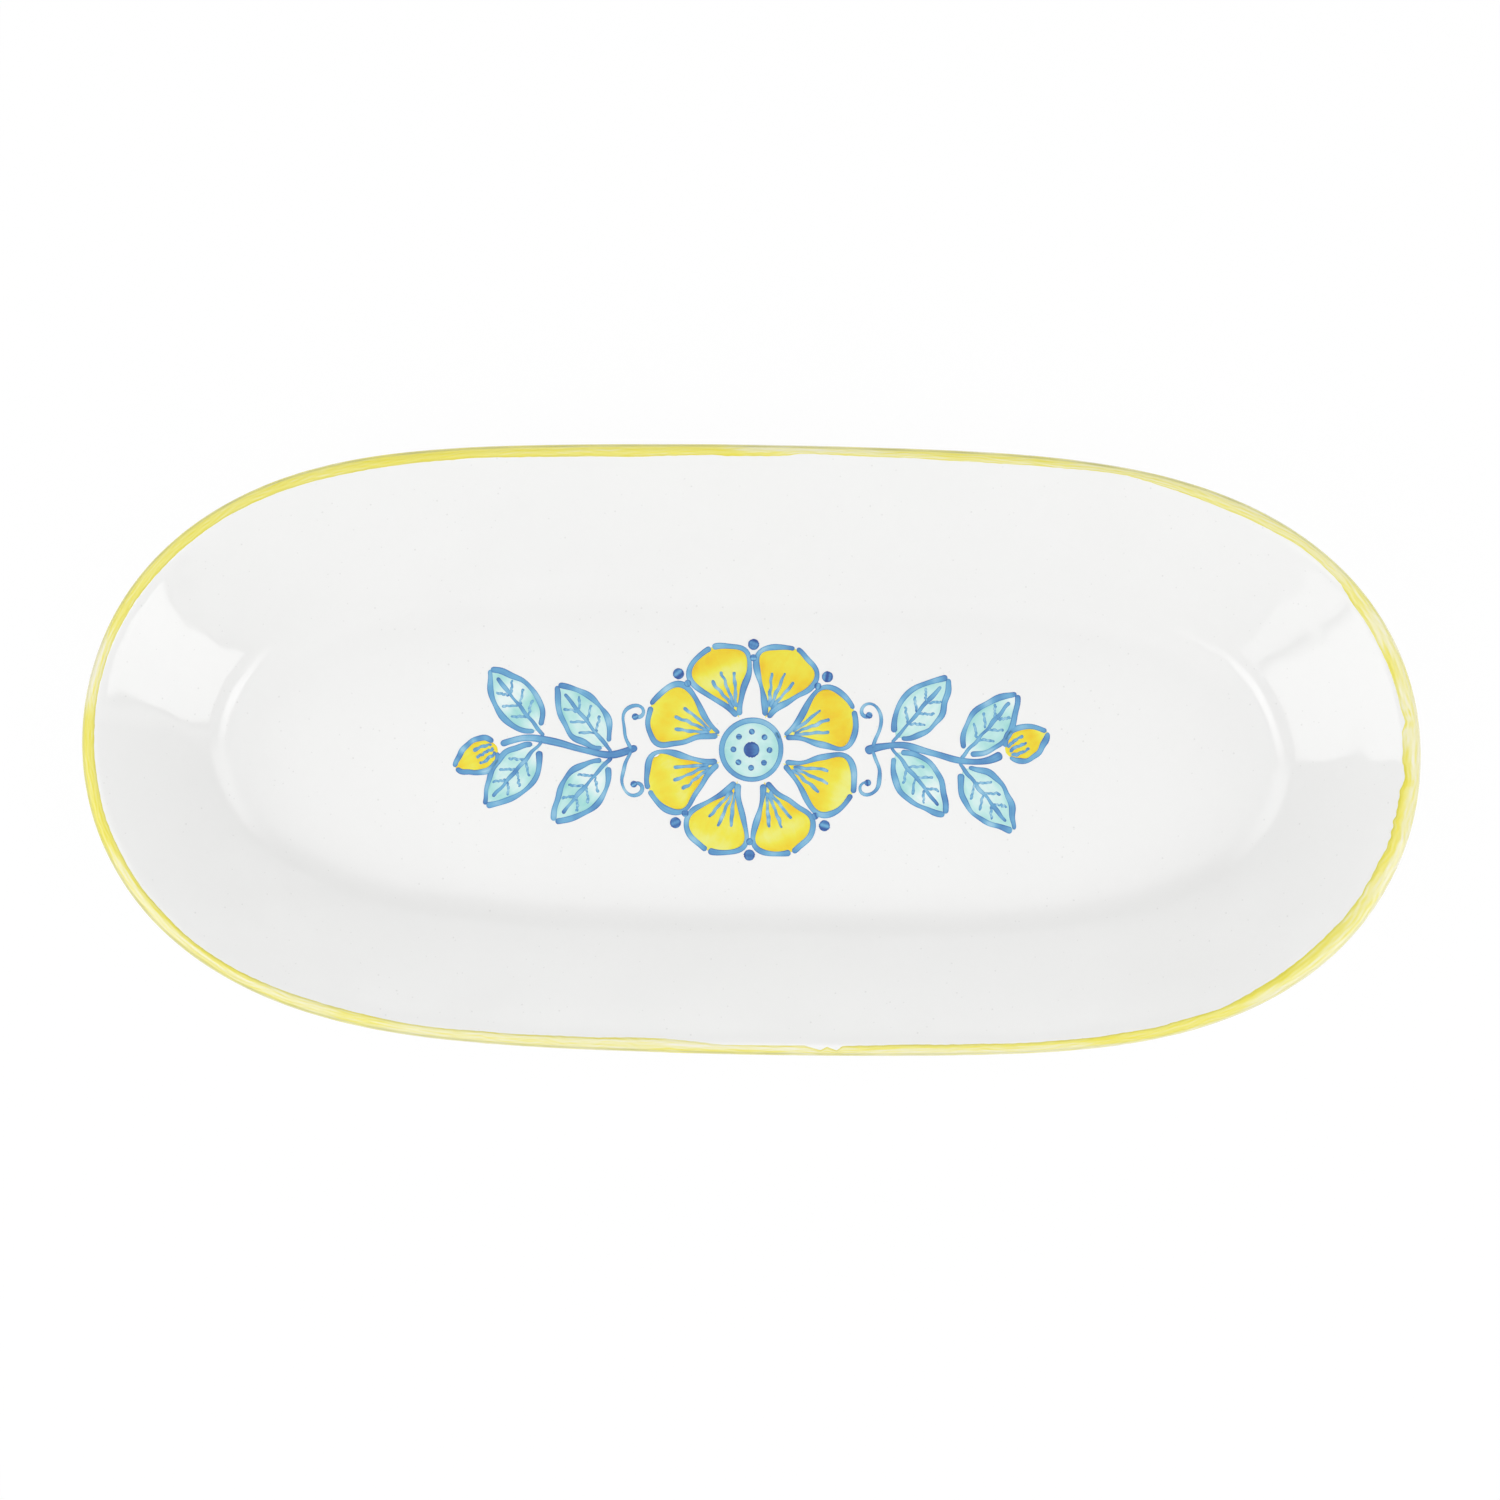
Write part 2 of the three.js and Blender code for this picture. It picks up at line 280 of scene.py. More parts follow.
# %% Grids, fans and pieces
finishes = {}  # each finish by its name, which is also the name of its slot


def ring_faces(count, columns, closed):
    """Faces (r, c), (r, c + 1), (r + 1, c + 1), (r + 1, c) of a grid that runs round, and back if closed."""
    r = np.arange(count if closed else count - 1)[:, None]
    c = np.arange(columns)[None]
    down, ahead = (r + 1) % count, (c + 1) % columns
    corners = (r * columns + c, r * columns + ahead, down * columns + ahead, down * columns + c)
    return np.stack(np.broadcast_arrays(*corners), -1).reshape(-1, 4)


def capped(rings, first, last):
    """A stack of rings closed by one point at each end: the points, the faces between rings and the fans."""
    count, columns = rings.shape[:2]
    points = np.vstack([rings.reshape(-1, 3), first, last])
    c = np.arange(columns)
    ahead, base = (c + 1) % columns, (count - 1) * columns
    start, stop = np.full(columns, len(points) - 2), np.full(columns, len(points) - 1)
    fans = np.vstack([np.stack([start, ahead, c], 1), np.stack([stop, base + c, base + ahead], 1)])
    return points, ring_faces(count, columns, False), fans


def facing_out(points, quads, fans):
    """Turns every face round if the volume, a sixth of the sum of a . (b x c) over triangles, is negative."""
    a, b, c = points[np.vstack([quads[:, [0, 1, 2]], quads[:, [0, 2, 3]], fans])].transpose(1, 0, 2)
    volume = np.einsum("ij,ij->", a, np.cross(b, c)) / 6
    return (quads, fans, volume) if volume > 0 else (quads[:, ::-1], fans[:, ::-1], -volume)


def linked(name, data):
    """A new object that shows a mesh, a lamp or a camera in the scene."""
    thing = bpy.data.objects.new(name, data)
    bpy.context.scene.collection.objects.link(thing)
    return thing


def add_piece(name, solid, slot, stands_for=None, maps=None, values=None):
    """Makes a mesh of a solid, with UV maps, point values and its slot's finish, which rides on the body."""
    points, quads, fans = solid
    quads, fans, volume = facing_out(points, quads, fans)
    mesh = bpy.data.meshes.new(name)
    mesh.from_pydata(points * MM, [], quads.tolist() + fans.tolist())
    for label, place in (maps or {}).items():
        corners = np.vstack([place(quads).reshape(-1, 2), place(fans).reshape(-1, 2)])
        mesh.uv_layers.new(name=label).data.foreach_set("uv", corners.astype(np.float32).ravel())
    for label, value in (values or {}).items():
        mesh.attributes.new(label, "FLOAT", "POINT").data.foreach_set("value", value.astype(np.float32))
    mesh.materials.append(finishes[slot])
    mesh.shade_smooth()
    piece = linked(name, mesh)
    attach(piece, "root")
    if stands_for:
        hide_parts(stands_for)
    return volume


print("helpers ready for", len(frame["nodes"]), "solids")

# %% [markdown]
# ## Shared effects of the finishes
# Glaze over earthenware is never one flat white: it clouds a little, and grit and gas leave specks and
# pinholes, over the paint too. Brushed colour pools at its edges and streaks along the stroke. Each effect
# could be repeated in every material, but a node group is built once and placed in each with its own
# values. It hands out only values that change over the surface; the shader stays in the material.

# %% Node helpers


def put(tree, kind, inputs=None, **settings):
    """Adds a node and sets it up: an input that is a socket is linked, and any other is set."""
    node = tree.nodes.new(kind)
    for key, value in settings.items():
        setattr(node, key, value)
    for key, value in (inputs or {}).items():
        if isinstance(value, bpy.types.NodeSocket):
            tree.links.new(value, node.inputs[key])
        else:
            node.inputs[key].default_value = value
    return node


def calc(operation, *values, clamp=False):
    """The result of a Math node, in the tree of the values that are sockets."""
    tree = next(value.id_data for value in values if isinstance(value, bpy.types.NodeSocket))
    inputs = dict(enumerate(values))
    return put(tree, "ShaderNodeMath", inputs, operation=operation, use_clamp=clamp).outputs[0]


def product(first, *others):
    """All the values multiplied together."""
    for value in others:
        first = calc("MULTIPLY", first, value)
    return first


def eased(value, start, stop):
    """A smooth step: 0 where the value is at the start, 1 where it is at the stop."""
    inputs = {"Value": value, "From Min": start, "From Max": stop}
    return put(value.id_data, "ShaderNodeMapRange", inputs, interpolation_type="SMOOTHSTEP").outputs[0]


def mixed(factor, a, b):
    """Colour a at factor 0 and colour b at factor 1."""
    return put(factor.id_data, "ShaderNodeMix", {0: factor, 6: a, 7: b}, data_type="RGBA").outputs[2]


def scaled(colour, shade):
    """A colour times a number."""
    inputs = {0: colour, "Scale": shade}
    return put(shade.id_data, "ShaderNodeVectorMath", inputs, operation="SCALE").outputs[0]


def cloud(place, scale, detail):
    """Noise that varies about 0, from about -0.5 to 0.5, with so many clouds to the unit."""
    inputs = {"Vector": place, "Scale": scale, "Detail": detail, "Roughness": 0.55}
    return calc("SUBTRACT", put(place.id_data, "ShaderNodeTexNoise", inputs).outputs[0], 0.5)


def wire(value, node, label):
    """Links a value to an input of a node."""
    value.id_data.links.new(value, node.inputs[label])


def stored(tree, name):
    """The value that a mesh stores at its points under a name."""
    return put(tree, "ShaderNodeAttribute", attribute_name=name).outputs["Fac"]


def new_group(name, inputs, outputs):
    """An empty shader group with number sockets of these names: its tree, its inputs and its end node."""
    tree = bpy.data.node_groups.new(name, "ShaderNodeTree")
    for label, value in inputs.items():
        tree.interface.new_socket(label, in_out="INPUT", socket_type="NodeSocketFloat").default_value = value
    for label in outputs:
        tree.interface.new_socket(label, in_out="OUTPUT", socket_type="NodeSocketFloat")
    return tree, put(tree, "NodeGroupInput").outputs, put(tree, "NodeGroupOutput")


print("node helpers ready")

# %% Group: the skin of the glaze
GRIT, PINHOLES = (165, 0.075, 0.62), (270, 0.09, 0.55)  # cells per metre, a speck's radius in cells, darkness
SPECK_CORE = 0.35  # share of its radius at which a speck is darkest
CLOSE_SHARE, RIPPLE_SHARE = 0.35, 0.35  # close clouds beside broad ones, slow ripples beside a speck's depth

glaze_skin, given, wanted = new_group(
    "Glaze skin", {"Mottle": 0.02, "Specks": 1.0}, ("Shade", "Speck", "Height"))
place = put(glaze_skin, "ShaderNodeTexCoord").outputs["Object"]
close = product(cloud(place, scale=330, detail=2), CLOSE_SHARE)
varied = calc("ADD", cloud(place, scale=24, detail=3), close)
shade = calc("MULTIPLY_ADD", varied, given["Mottle"], 1.0)
spots = []
for scale, radius, darkness in (GRIT, PINHOLES):
    cells = put(glaze_skin, "ShaderNodeTexVoronoi", {"Vector": place, "Scale": scale}).outputs["Distance"]
    spots.append(product(eased(cells, radius, radius * SPECK_CORE), darkness))
speck = calc("MULTIPLY", calc("MAXIMUM", *spots), given["Specks"], clamp=True)
ripple = product(cloud(place, scale=120, detail=1), RIPPLE_SHARE)
height = calc("SUBTRACT", ripple, speck)
for label, value in (("Shade", shade), ("Speck", speck), ("Height", height)):
    wire(value, wanted, label)
print("group made:", glaze_skin.name, len(glaze_skin.nodes), "nodes")

# %% Group: how much colour the brush left
LANES = 5.0  # how much closer the streaks lie across the stroke than along it
POOL_FROM = 0.55  # where the pool along the edges begins: 0 is the middle of the stroke, 1 its edge

brush_load, given, wanted = new_group(
    "Brush load", {"Streaks": 0.2, "Run": 1.8, "Clouds": 0.2, "Pooling": 0.3}, ("Density",))
brush_uv = put(brush_load, "ShaderNodeUVMap", uv_map="Brush").outputs[0]
flow = put(brush_load, "ShaderNodeSeparateXYZ", {0: brush_uv}).outputs
lanes = {0: calc("DIVIDE", flow[0], given["Run"]), 1: product(flow[1], LANES), 2: stored(brush_load, "seed")}
streak = cloud(put(brush_load, "ShaderNodeCombineXYZ", lanes).outputs[0], scale=1.6, detail=3)
blotch = cloud(put(brush_load, "ShaderNodeTexCoord").outputs["Object"], scale=210, detail=3)
to_edge = calc("ABSOLUTE", calc("MULTIPLY_ADD", flow[1], 2.0, -1.0))
pool = eased(to_edge, POOL_FROM, 1.0)
density = stored(brush_load, "load")
for amount, effect in (("Streaks", streak), ("Clouds", blotch), ("Pooling", pool)):
    density = calc("MULTIPLY_ADD", given[amount], effect, density)
wire(calc("ADD", density, 0.0, clamp=True), wanted, "Density")
print("group made:", brush_load.name, len(brush_load.nodes), "nodes")

# %% [markdown]
# ## The finishes
# The glaze is a glossy coat over white, so one Principled shader with a little roughness gives it. Brush
# colours lie in the same glaze, and only their colour changes: from a watery tint, through the full colour,
# to where it pooled. The foot's tread was wiped bare, and there buff clay shows its sandy grain.

# %% Glaze and brush colours
GLOSS = 0.08
DENT_STRENGTH, DENT_DEPTH = 0.5, 0.00004
GLAZE_WHITE, GRIT_COLOUR = (0.85, 0.85, 0.842), (0.50, 0.50, 0.49, 1)
GLAZE_MOTTLE, GLAZE_SPECKS = 0.03, 0.45
PAINT_MOTTLE, PAINT_SPECKS = 0.02, 0.6
WASH_STEPS = (0.0, 0.35, 0.7, 1.0)  # densities at which the four colours of a wash stand
WASHES = {  # the four colours from thin to pooled, then streaks, clouds and pooling
    "gold_wash": (((0.80, 0.81, 0.22), (0.81, 0.74, 0.05), (0.82, 0.62, 0.015), (0.80, 0.46, 0.008)),
                  {"Streaks": 0.35, "Clouds": 0.5, "Pooling": 0.18}),
    "aqua_wash": (((0.76, 0.86, 0.85), (0.52, 0.78, 0.76), (0.32, 0.66, 0.64), (0.17, 0.47, 0.55)),
                  {"Streaks": 0.3, "Clouds": 0.5, "Pooling": 0.2}),
    "blue_line": (((0.42, 0.66, 0.78), (0.145, 0.40, 0.63), (0.06, 0.21, 0.48), (0.022, 0.080, 0.31)),
                  {"Streaks": 0.3, "Clouds": 0.35, "Pooling": 0.3}),
}


def finish_of(name, roughness):
    """A new finish, plain but for its roughness: its node tree and its Principled shader."""
    material = bpy.data.materials.new(name)
    material.use_nodes = True
    shader = material.node_tree.nodes["Principled BSDF"]
    shader.inputs["Roughness"].default_value = roughness
    finishes[name] = material
    return material.node_tree, shader


def skin_of(tree, shader, mottle, specks):
    """Places the glaze's skin group, and lets its height dent the surface."""
    skin = put(tree, "ShaderNodeGroup", {"Mottle": mottle, "Specks": specks}, node_tree=glaze_skin).outputs
    dent = {"Height": skin["Height"], "Strength": DENT_STRENGTH, "Distance": DENT_DEPTH}
    wire(put(tree, "ShaderNodeBump", dent).outputs[0], shader, "Normal")
    return skin


def brushed(tree, steps, colours, amounts):
    """The colour that a brush left: a ramp over the density, from a thin tint to where it pooled."""
    density = put(tree, "ShaderNodeGroup", amounts, node_tree=brush_load).outputs["Density"]
    ramp = put(tree, "ShaderNodeValToRGB", {0: density})
    stops = ramp.color_ramp.elements
    while len(stops) < len(steps):
        stops.new(0.5)
    for stop, step, colour in zip(stops, steps, colours):
        stop.position = step
        stop.color = (*colour, 1)
    return ramp.outputs[0]


tree, shader = finish_of("white_glaze", GLOSS)
skin = skin_of(tree, shader, GLAZE_MOTTLE, GLAZE_SPECKS)
clouded = scaled(GLAZE_WHITE, skin["Shade"])
wire(mixed(skin["Speck"], clouded, GRIT_COLOUR), shader, "Base Color")
for name, (colours, amounts) in WASHES.items():
    tree, shader = finish_of(name, GLOSS)
    skin = skin_of(tree, shader, PAINT_MOTTLE, PAINT_SPECKS)
    wash = brushed(tree, WASH_STEPS, colours, amounts)
    wire(scaled(wash, skin["Shade"]), shader, "Base Color")
print("finishes made:", ", ".join(finishes))

# %% Bare clay
SAND_SHARE, CLOUD_SHARE = 0.7, 0.6  # how much the grains and the clouds count
DARK_CLAY, PALE_CLAY = (0.56, 0.40, 0.26, 1), (0.76, 0.61, 0.45, 1)

tree, shader = finish_of("bare_clay", roughness=0.85)
place = put(tree, "ShaderNodeTexCoord").outputs["Object"]
sand = cloud(place, scale=900, detail=4)
tone = calc("MULTIPLY_ADD", sand, SAND_SHARE, 0.5)
tone = calc("MULTIPLY_ADD", cloud(place, scale=60, detail=3), CLOUD_SHARE, tone, clamp=True)
wire(mixed(tone, DARK_CLAY, PALE_CLAY), shader, "Base Color")
grain = put(tree, "ShaderNodeBump", {"Height": sand, "Strength": 0.6, "Distance": 0.0002})
wire(grain.outputs[0], shader, "Normal")
print("finish made:", finishes["bare_clay"].name)

# %% [markdown]
# ## Body, glaze and recess
# The fired body fills the space under the glaze and shows only on the foot's tread. The glaze is a thin
# shell that ends in a rounded line above the tread, and a second coat lies inside the foot ring. A Solidify
# modifier could thicken one surface, but the shell's two faces are the same section at two depths, so both
# are carried. A UV map of the plan, with top and underside apart, gives an even grid to bake on.

# %% Clay body
HIDDEN_COLUMNS = 320  # what is hidden or lies below needs fewer points round
MAP_SPAN = 1.02 * LENGTH  # mm across the UV square, a little more than the platter

tread = np.array([
    (FOOT_OUTER + GLAZE, TREAD_CHAMFER), (FOOT_OUTER + GLAZE + TREAD_CHAMFER, 0),
    (FOOT_INNER - GLAZE - TREAD_CHAMFER, 0), (FOOT_INNER - GLAZE, TREAD_CHAMFER),
])


def lathed(section, count=COLUMNS):
    """A section carried round the plan, whose first and last rows shrink to the points that close it."""
    rings = carried(*section.T[..., None], count)
    return capped(rings[1:-1], rings[0, 0], rings[-1, 0])


def plan_map(points, top_rows, count):
    """UV of the plan: faces of the first rows on the square's upper half, all others on its lower half."""

    def place(faces):
        flat = points[faces][..., :2] / MAP_SPAN
        over = (faces.min(-1) < top_rows * count) | (faces.max(-1) == len(points) - 2)
        return flat + np.where(over, 0.75, 0.25)[:, None, None] * [0, 1] + [0.5, 0]

    return place


body_skin = main_skin(GLAZE, floor=2, curve=10, wall=6, lip_count=12, below=6)
solid = lathed(np.vstack([body_skin, rows(tread), recess_skin(GLAZE, curve=6, floor=3)]), HIDDEN_COLUMNS)
volume = add_piece("fired_body", solid, "bare_clay", "clay_body")
print("clay body:", len(solid[0]), "points,", round(volume / 1000), "cm3")

# %% Glaze coats
FLOOR_ROWS, FOLD_ROWS, WALL_ROWS, LIP_ROWS, FOOT_ROWS = 22, 28, 30, 24, 8
LIP_TOP_ROWS = 14  # rows of the lip that are mapped with the top
BEAD = ((FOOT_OUTER + 0.08, BARE_FOOT - 0.16), (FOOT_OUTER + 0.3, BARE_FOOT - 0.2))  # the glaze's rounded end

outer = main_skin(0, FLOOR_ROWS, FOLD_ROWS, WALL_ROWS, LIP_ROWS, FOOT_ROWS)
inner = main_skin(GLAZE, floor=2, curve=6, wall=3, lip_count=8, below=3)
shell = lathed(np.vstack([outer, rows(BEAD), inner[::-1]]))
top_rows = FLOOR_ROWS + FOLD_ROWS + WALL_ROWS + ROLL_ROWS + LIP_TOP_ROWS
volume = add_piece("glaze_shell", shell, "white_glaze", "glaze_coat",
                   {"OFBake": plan_map(shell[0], top_rows, COLUMNS)})
print("glaze shell:", len(shell[0]), "points,", round(volume / 1000), "cm3")

recess_section = np.vstack([recess_skin(GLAZE, curve=4, floor=2)[::-1], recess_skin(0, curve=8, floor=14)])
foot_coat = lathed(recess_section, HIDDEN_COLUMNS)
volume = add_piece("recess_glaze", foot_coat, "white_glaze", "foot_recess_glaze",
                   {"OFBake": plan_map(foot_coat[0], 0, HIDDEN_COLUMNS)})
print("recess glaze:", len(foot_coat[0]), "points,", round(volume / 1000), "cm3")

# %% [markdown]
# ## The yellow band
# A loaded brush is held against the lip while the platter turns: the band is wide and strong where the
# brush was just dipped, thin and pale where it ran dry, and richer where two passes overlap. Bristles leave
# fine lines along it. A duller line follows the inner edge, where the colour drained, and another runs along
# the outer edge, partly drained colour and partly painted shade. One pale patch over the outer part at the
# left end is a painted highlight on the lip. A mask in the glaze's material would be quick, but the band is
# a coat of its own with a ragged inner edge, so it is a thin strip over the lip, and its strength is stored
# at its points.

# %% Where the band runs
BAND_END = -QUARTER - np.radians(20)  # how far it wraps under the lip
BAND_WIDTH = np.array([  # share of the way round the rim from its right end, width from above in mm
    (0.0, 6.3), (0.01, 6.2), (0.013, 4.9), (0.017, 5.4), (0.031, 5.6), (0.054, 5.3), (0.062, 3.9),
    (0.079, 3.6), (0.089, 4.0), (0.103, 4.4), (0.125, 3.6), (0.137, 2.6), (0.156, 3.3), (0.179, 3.8),
    (0.205, 3.4), (0.237, 3.0), (0.241, 3.7), (0.25, 4.0), (0.26, 4.1), (0.2635, 3.7), (0.286, 4.5),
    (0.339, 4.0), (0.375, 4.3), (0.415, 3.9), (0.437, 4.3), (0.469, 4.0), (0.487, 4.2), (0.5, 4.5),
    (0.56, 4.5), (0.579, 4.1), (0.625, 4.6), (0.647, 3.9), (0.705, 4.5), (0.725, 5.0), (0.732, 4.3),
    (0.743, 3.4), (0.768, 3.5), (0.7728, 2.1), (0.775, 3.2), (0.778, 2.0), (0.7795, 3.6), (0.799, 4.0),
    (0.839, 3.8), (0.875, 4.0), (0.884, 4.3), (0.898, 4.1), (0.911, 5.2), (0.925, 5.9), (0.939, 6.3),
    (0.955, 6.1), (0.967, 6.6), (0.9715, 6.0), (0.982, 6.5), (0.992, 6.4), (0.9945, 5.5), (0.9975, 5.6),
    (1.0, 6.3),
])


def waver(share, count, lowest, highest, draw):
    """Smooth noise round a loop: whole-numbered waves with random phases, their sum over its spread."""
    waves = draw.integers(lowest, highest, count)
    phases = draw.uniform(0, 2 * np.pi, count)
    return np.sin(2 * np.pi * share[..., None] * waves + phases).sum(-1) / np.sqrt(count / 2)


print("band:", len(BAND_WIDTH), "widths")

# %% The band's strip
BAND_COLUMNS, OVER_ROWS, BACK_ROWS = 1440, 36, 7  # points round, over the band and back underneath
BAND_RISE, BAND_SINK, EDGE_SINK = 0.1, 0.06, 0.004  # mm above the glaze, into it, and into it at the edges
CROWDING = 0.1  # how much the rows over the band crowd towards its edges
DOWN_WALL = 4.0  # mm of straight wall that the path takes in
EDGE_WAVER, RAGGED = 0.05, 0.03  # mm that the inner edge wanders slowly and quickly
RAGGED_AT, RAGGED_REACH, RAGGED_MORE = 0.975, 0.035, 0.13  # and mm more near this share of the rim

brush_hand = np.random.default_rng(5)
share = np.arange(BAND_COLUMNS) / BAND_COLUMNS
from_ragged = np.abs((share - RAGGED_AT + 0.5) % 1 - 0.5)
ragged = RAGGED + RAGGED_MORE * np.clip(1 - from_ragged / RAGGED_REACH, 0, 1)
inner_edge = np.interp(share, *BAND_WIDTH.T) + EDGE_WAVER * waver(share, 9, 20, 60, brush_hand)
inner_edge += ragged * waver(share, 14, 90, 330, brush_hand)

rolled = arc(roll, ROLL_RADIUS, slope, slope - LIP_ROLL, count=24)
down_wall = rolled[0] + DOWN_WALL * np.array([np.cos(slope), -np.sin(slope)])
over_lip = arc(lip, LIP_RADIUS, slope - LIP_ROLL, BAND_END, count=90)
path = np.vstack([down_wall, between(down_wall, rolled[0], count=20), rolled, over_lip[1:]])
ahead = np.gradient(path, axis=0)
normal = np.stack([ahead[:, 1], -ahead[:, 0]], 1) / np.linalg.norm(ahead, axis=1, keepdims=True)
normal *= np.sign(normal[0, 1])
gone = distances(path)
top = np.argmin(path[:, 0])
begins = np.interp(inner_edge, path[:top + 1, 0][::-1], gone[:top + 1][::-1])

steps = np.linspace(0, 1, OVER_ROWS)
over = steps - CROWDING * np.sin(2 * np.pi * steps)
lane = np.concatenate([over, np.linspace(1, 0, BACK_ROWS)])[:, None]
swell = BAND_RISE * (1 - np.abs(2 * over - 1) ** 10) - EDGE_SINK
thick = np.concatenate([swell, np.full(BACK_ROWS, -BAND_SINK)])[:, None, None]
walked = begins + (gone[-1] - begins) * lane
inset, z = np.moveaxis(picked(path, gone, walked) + thick * picked(normal, gone, walked), -1, 0)
grid = carried(inset, z, np.ones(1), BAND_COLUMNS).reshape(-1, 3)
print("band width in mm:", inner_edge.min().round(1), "to", inner_edge.max().round(1))

# %% Passes of the brush
BRUSH_PASSES = (  # start and stop round the rim, from and to across it (0 inside, 1 outside), colour added
    (0.955, 1.0105, -0.3, 0.36, 0.55), (0.992, 0.9955, -0.3, 0.6, 0.20), (0.0105, 0.0138, -0.3, 0.6, 0.24),
    (0.0142, 0.0173, -0.3, 0.6, 0.20), (0.02, 0.04, -0.3, 1.2, 0.12), (0.0235, 0.041, -0.3, 0.36, 0.36),
    (0.0385, 0.062, -0.3, 0.25, 0.15), (0.047, 0.066, -0.3, 1.2, 0.20), (0.06, 0.135, -0.3, 0.9, 0.12),
    (0.083, 0.125, -0.3, 0.40, 0.08), (0.125, 0.245, -0.3, 0.9, 0.12), (0.148, 0.218, 0.35, 1.0, 0.20),
    (0.205, 0.242, 0.3, 0.62, -0.20), (0.2365, 0.266, -0.3, 0.42, 0.38), (0.252, 0.474, -0.3, 1.0, 0.40),
    # The third pass on the next line, pale over the outer part at the left end, is a painted highlight on the
    # lip.
    (0.33, 0.375, 0.0, 0.8, 0.10), (0.288, 0.310, 0.3, 0.6, -0.10), (0.465, 0.494, 0.5, 1.2, -0.24),
    (0.465, 0.494, -0.3, 0.5, 0.12), (0.485, 0.542, -0.3, 1.0, 0.48), (0.530, 0.605, -0.3, 0.30, 0.42),
    (0.575, 0.645, -0.3, 0.9, 0.09), (0.618, 0.65, -0.3, 0.7, 0.15), (0.64, 0.725, -0.3, 0.9, 0.05),
    (0.715, 0.768, 0.5, 1.0, 0.28), (0.72, 0.757, -0.3, 0.45, -0.15), (0.752, 0.768, 0.2, 0.6, -0.12),
    (0.768, 0.784, -0.3, 1.0, 0.15), (0.778, 0.868, -0.3, 0.42, 0.38), (0.850, 0.911, -0.3, 0.80, 0.42),
    (0.899, 0.925, -0.3, 0.45, 0.50), (0.914, 0.947, -0.3, 0.42, 0.42), (0.912, 0.942, 0.5, 0.72, 0.20),
    (0.934, 0.961, -0.3, 0.8, 0.20), (0.528, 0.62, 0.66, 0.9, 0.22),
)
OUTER_LINE = np.array([  # share of the rim, strength of the dull outer line: drained colour and painted shade
    (0.0, 0.3), (0.04, 0.5), (0.08, 1.1), (0.12, 1.45), (0.35, 1.4), (0.44, 1.25), (0.5, 0.85), (0.56, 1.3),
    (0.75, 1.35), (0.82, 1.0), (0.89, 0.5), (0.94, 0.4), (1.0, 0.3),
])
INNER_LINE = np.array([  # the same along the inner edge
    (0.0, 0.45), (0.06, 0.2), (0.25, 0.15), (0.3, 0.4), (0.5, 0.4), (0.58, 0.8), (0.7, 0.7), (0.72, 0.3),
    (0.765, 0.3), (0.79, 0.8), (0.87, 0.6), (0.92, 0.5), (1.0, 0.45),
])


def bell(value, middle, reach):
    """exp(-((value - middle) / reach)^2)."""
    return np.exp(-(((value - middle) / reach) ** 2))


def soft_patch(share, position, patches, ease=0.012, edge=0.22):
    """Sum over patches of a strength that rises evenly across the band, and smoothly along the rim, within a
    third of the patch."""
    total = np.zeros(np.broadcast_shapes(share.shape, position.shape))
    for start, stop, low, high, strength in patches:
        past, rise = (share - start) % 1.0, min(ease, (stop - start) / 3)
        along = smooth(np.clip(past / rise, 0, 1) * np.clip((stop - start - past) / rise, 0, 1))
        over = np.clip((position - low) / edge + 0.5, 0, 1) * np.clip((high - position) / edge + 0.5, 0, 1)
        total = total + strength * along * over
    return total


def bristle_lines(share, position, draw, count=7, wander=0.45):
    """Waves across the band, two to six to its width, whose phases wander along the rim: the sum over its
    spread."""
    total = 0
    for lanes in draw.uniform(2.0, 6.0, count):
        total = total + np.sin(2 * np.pi * (lanes * position + wander * waver(share, 9, 6, 60, draw)))
    return total / np.sqrt(count / 2)


print("band:", len(BRUSH_PASSES), "passes of the brush")

# %% How strong the band's colour is
FIRST_COAT, BRISTLES = 0.30, 0.10  # the first pass, and what bristles add and take away in lines
WANDER, SLOW, QUICK = 0.05, 0.025, 0.015  # how passes wander across the band, and colour changes along it
EDGE_LINE, EDGE_REACH = 0.28, 0.45  # colour added where the stroke dried along its inner edge, within mm
OUTER_AT, OUTER_REACH = 0.65, 0.42  # mm in from the rim, where the dull outer line runs, and its half width
INNER_AT, INNER_REACH = 0.25, 0.35  # the same for the dull inner line, in mm from the inner edge
DULL_EVEN, DULL_CHANGE = 0.9, 0.12  # what the dull lines keep, and how they change along the rim

position = 1 - np.clip(inset, 0, None) / inner_edge
wander = WANDER * waver(share, 10, 8, 50, brush_hand)
load = FIRST_COAT + soft_patch(share, position + wander, BRUSH_PASSES)
load += EDGE_LINE * bell(position * inner_edge, 0, EDGE_REACH)
load += SLOW * waver(share, 12, 8, 40, brush_hand) + QUICK * waver(share, 12, 60, 200, brush_hand)
# The dull lines: drained colour along the inner edge, and drained colour with painted shade along the outer
# edge.
dull = np.interp(share, *OUTER_LINE.T) * bell(inset, OUTER_AT, OUTER_REACH)
dull += np.interp(share, *INNER_LINE.T) * bell(inner_edge - inset, INNER_AT, INNER_REACH)
dull *= DULL_EVEN + DULL_CHANGE * waver(share, 10, 20, 90, brush_hand)
load += BRISTLES * bristle_lines(share, position, brush_hand)
print("band strength:", load.min().round(2), "to", load.max().round(2))

# %% The band's colour and piece
BAND_TURNS = 8  # the strip is cut into this many lengths for baking
BELOW, TAKEN = 0.04, 0.9  # shares of its place on the map that a length leaves free below and takes
BAND_SEED = 3.7  # which part of the noise its streaks take
YELLOW_STEPS = (0.0, 0.3, 0.65, 1.0)
YELLOWS = ((0.85, 0.82, 0.70), (0.83, 0.795, 0.46), (0.81, 0.75, 0.19), (0.79, 0.705, 0.075))
# The dull yellow paints drained colour, and painted shade on the lip's outer edge.
DULL_YELLOW, DULLING = (0.50, 0.48, 0.16, 1), 0.6

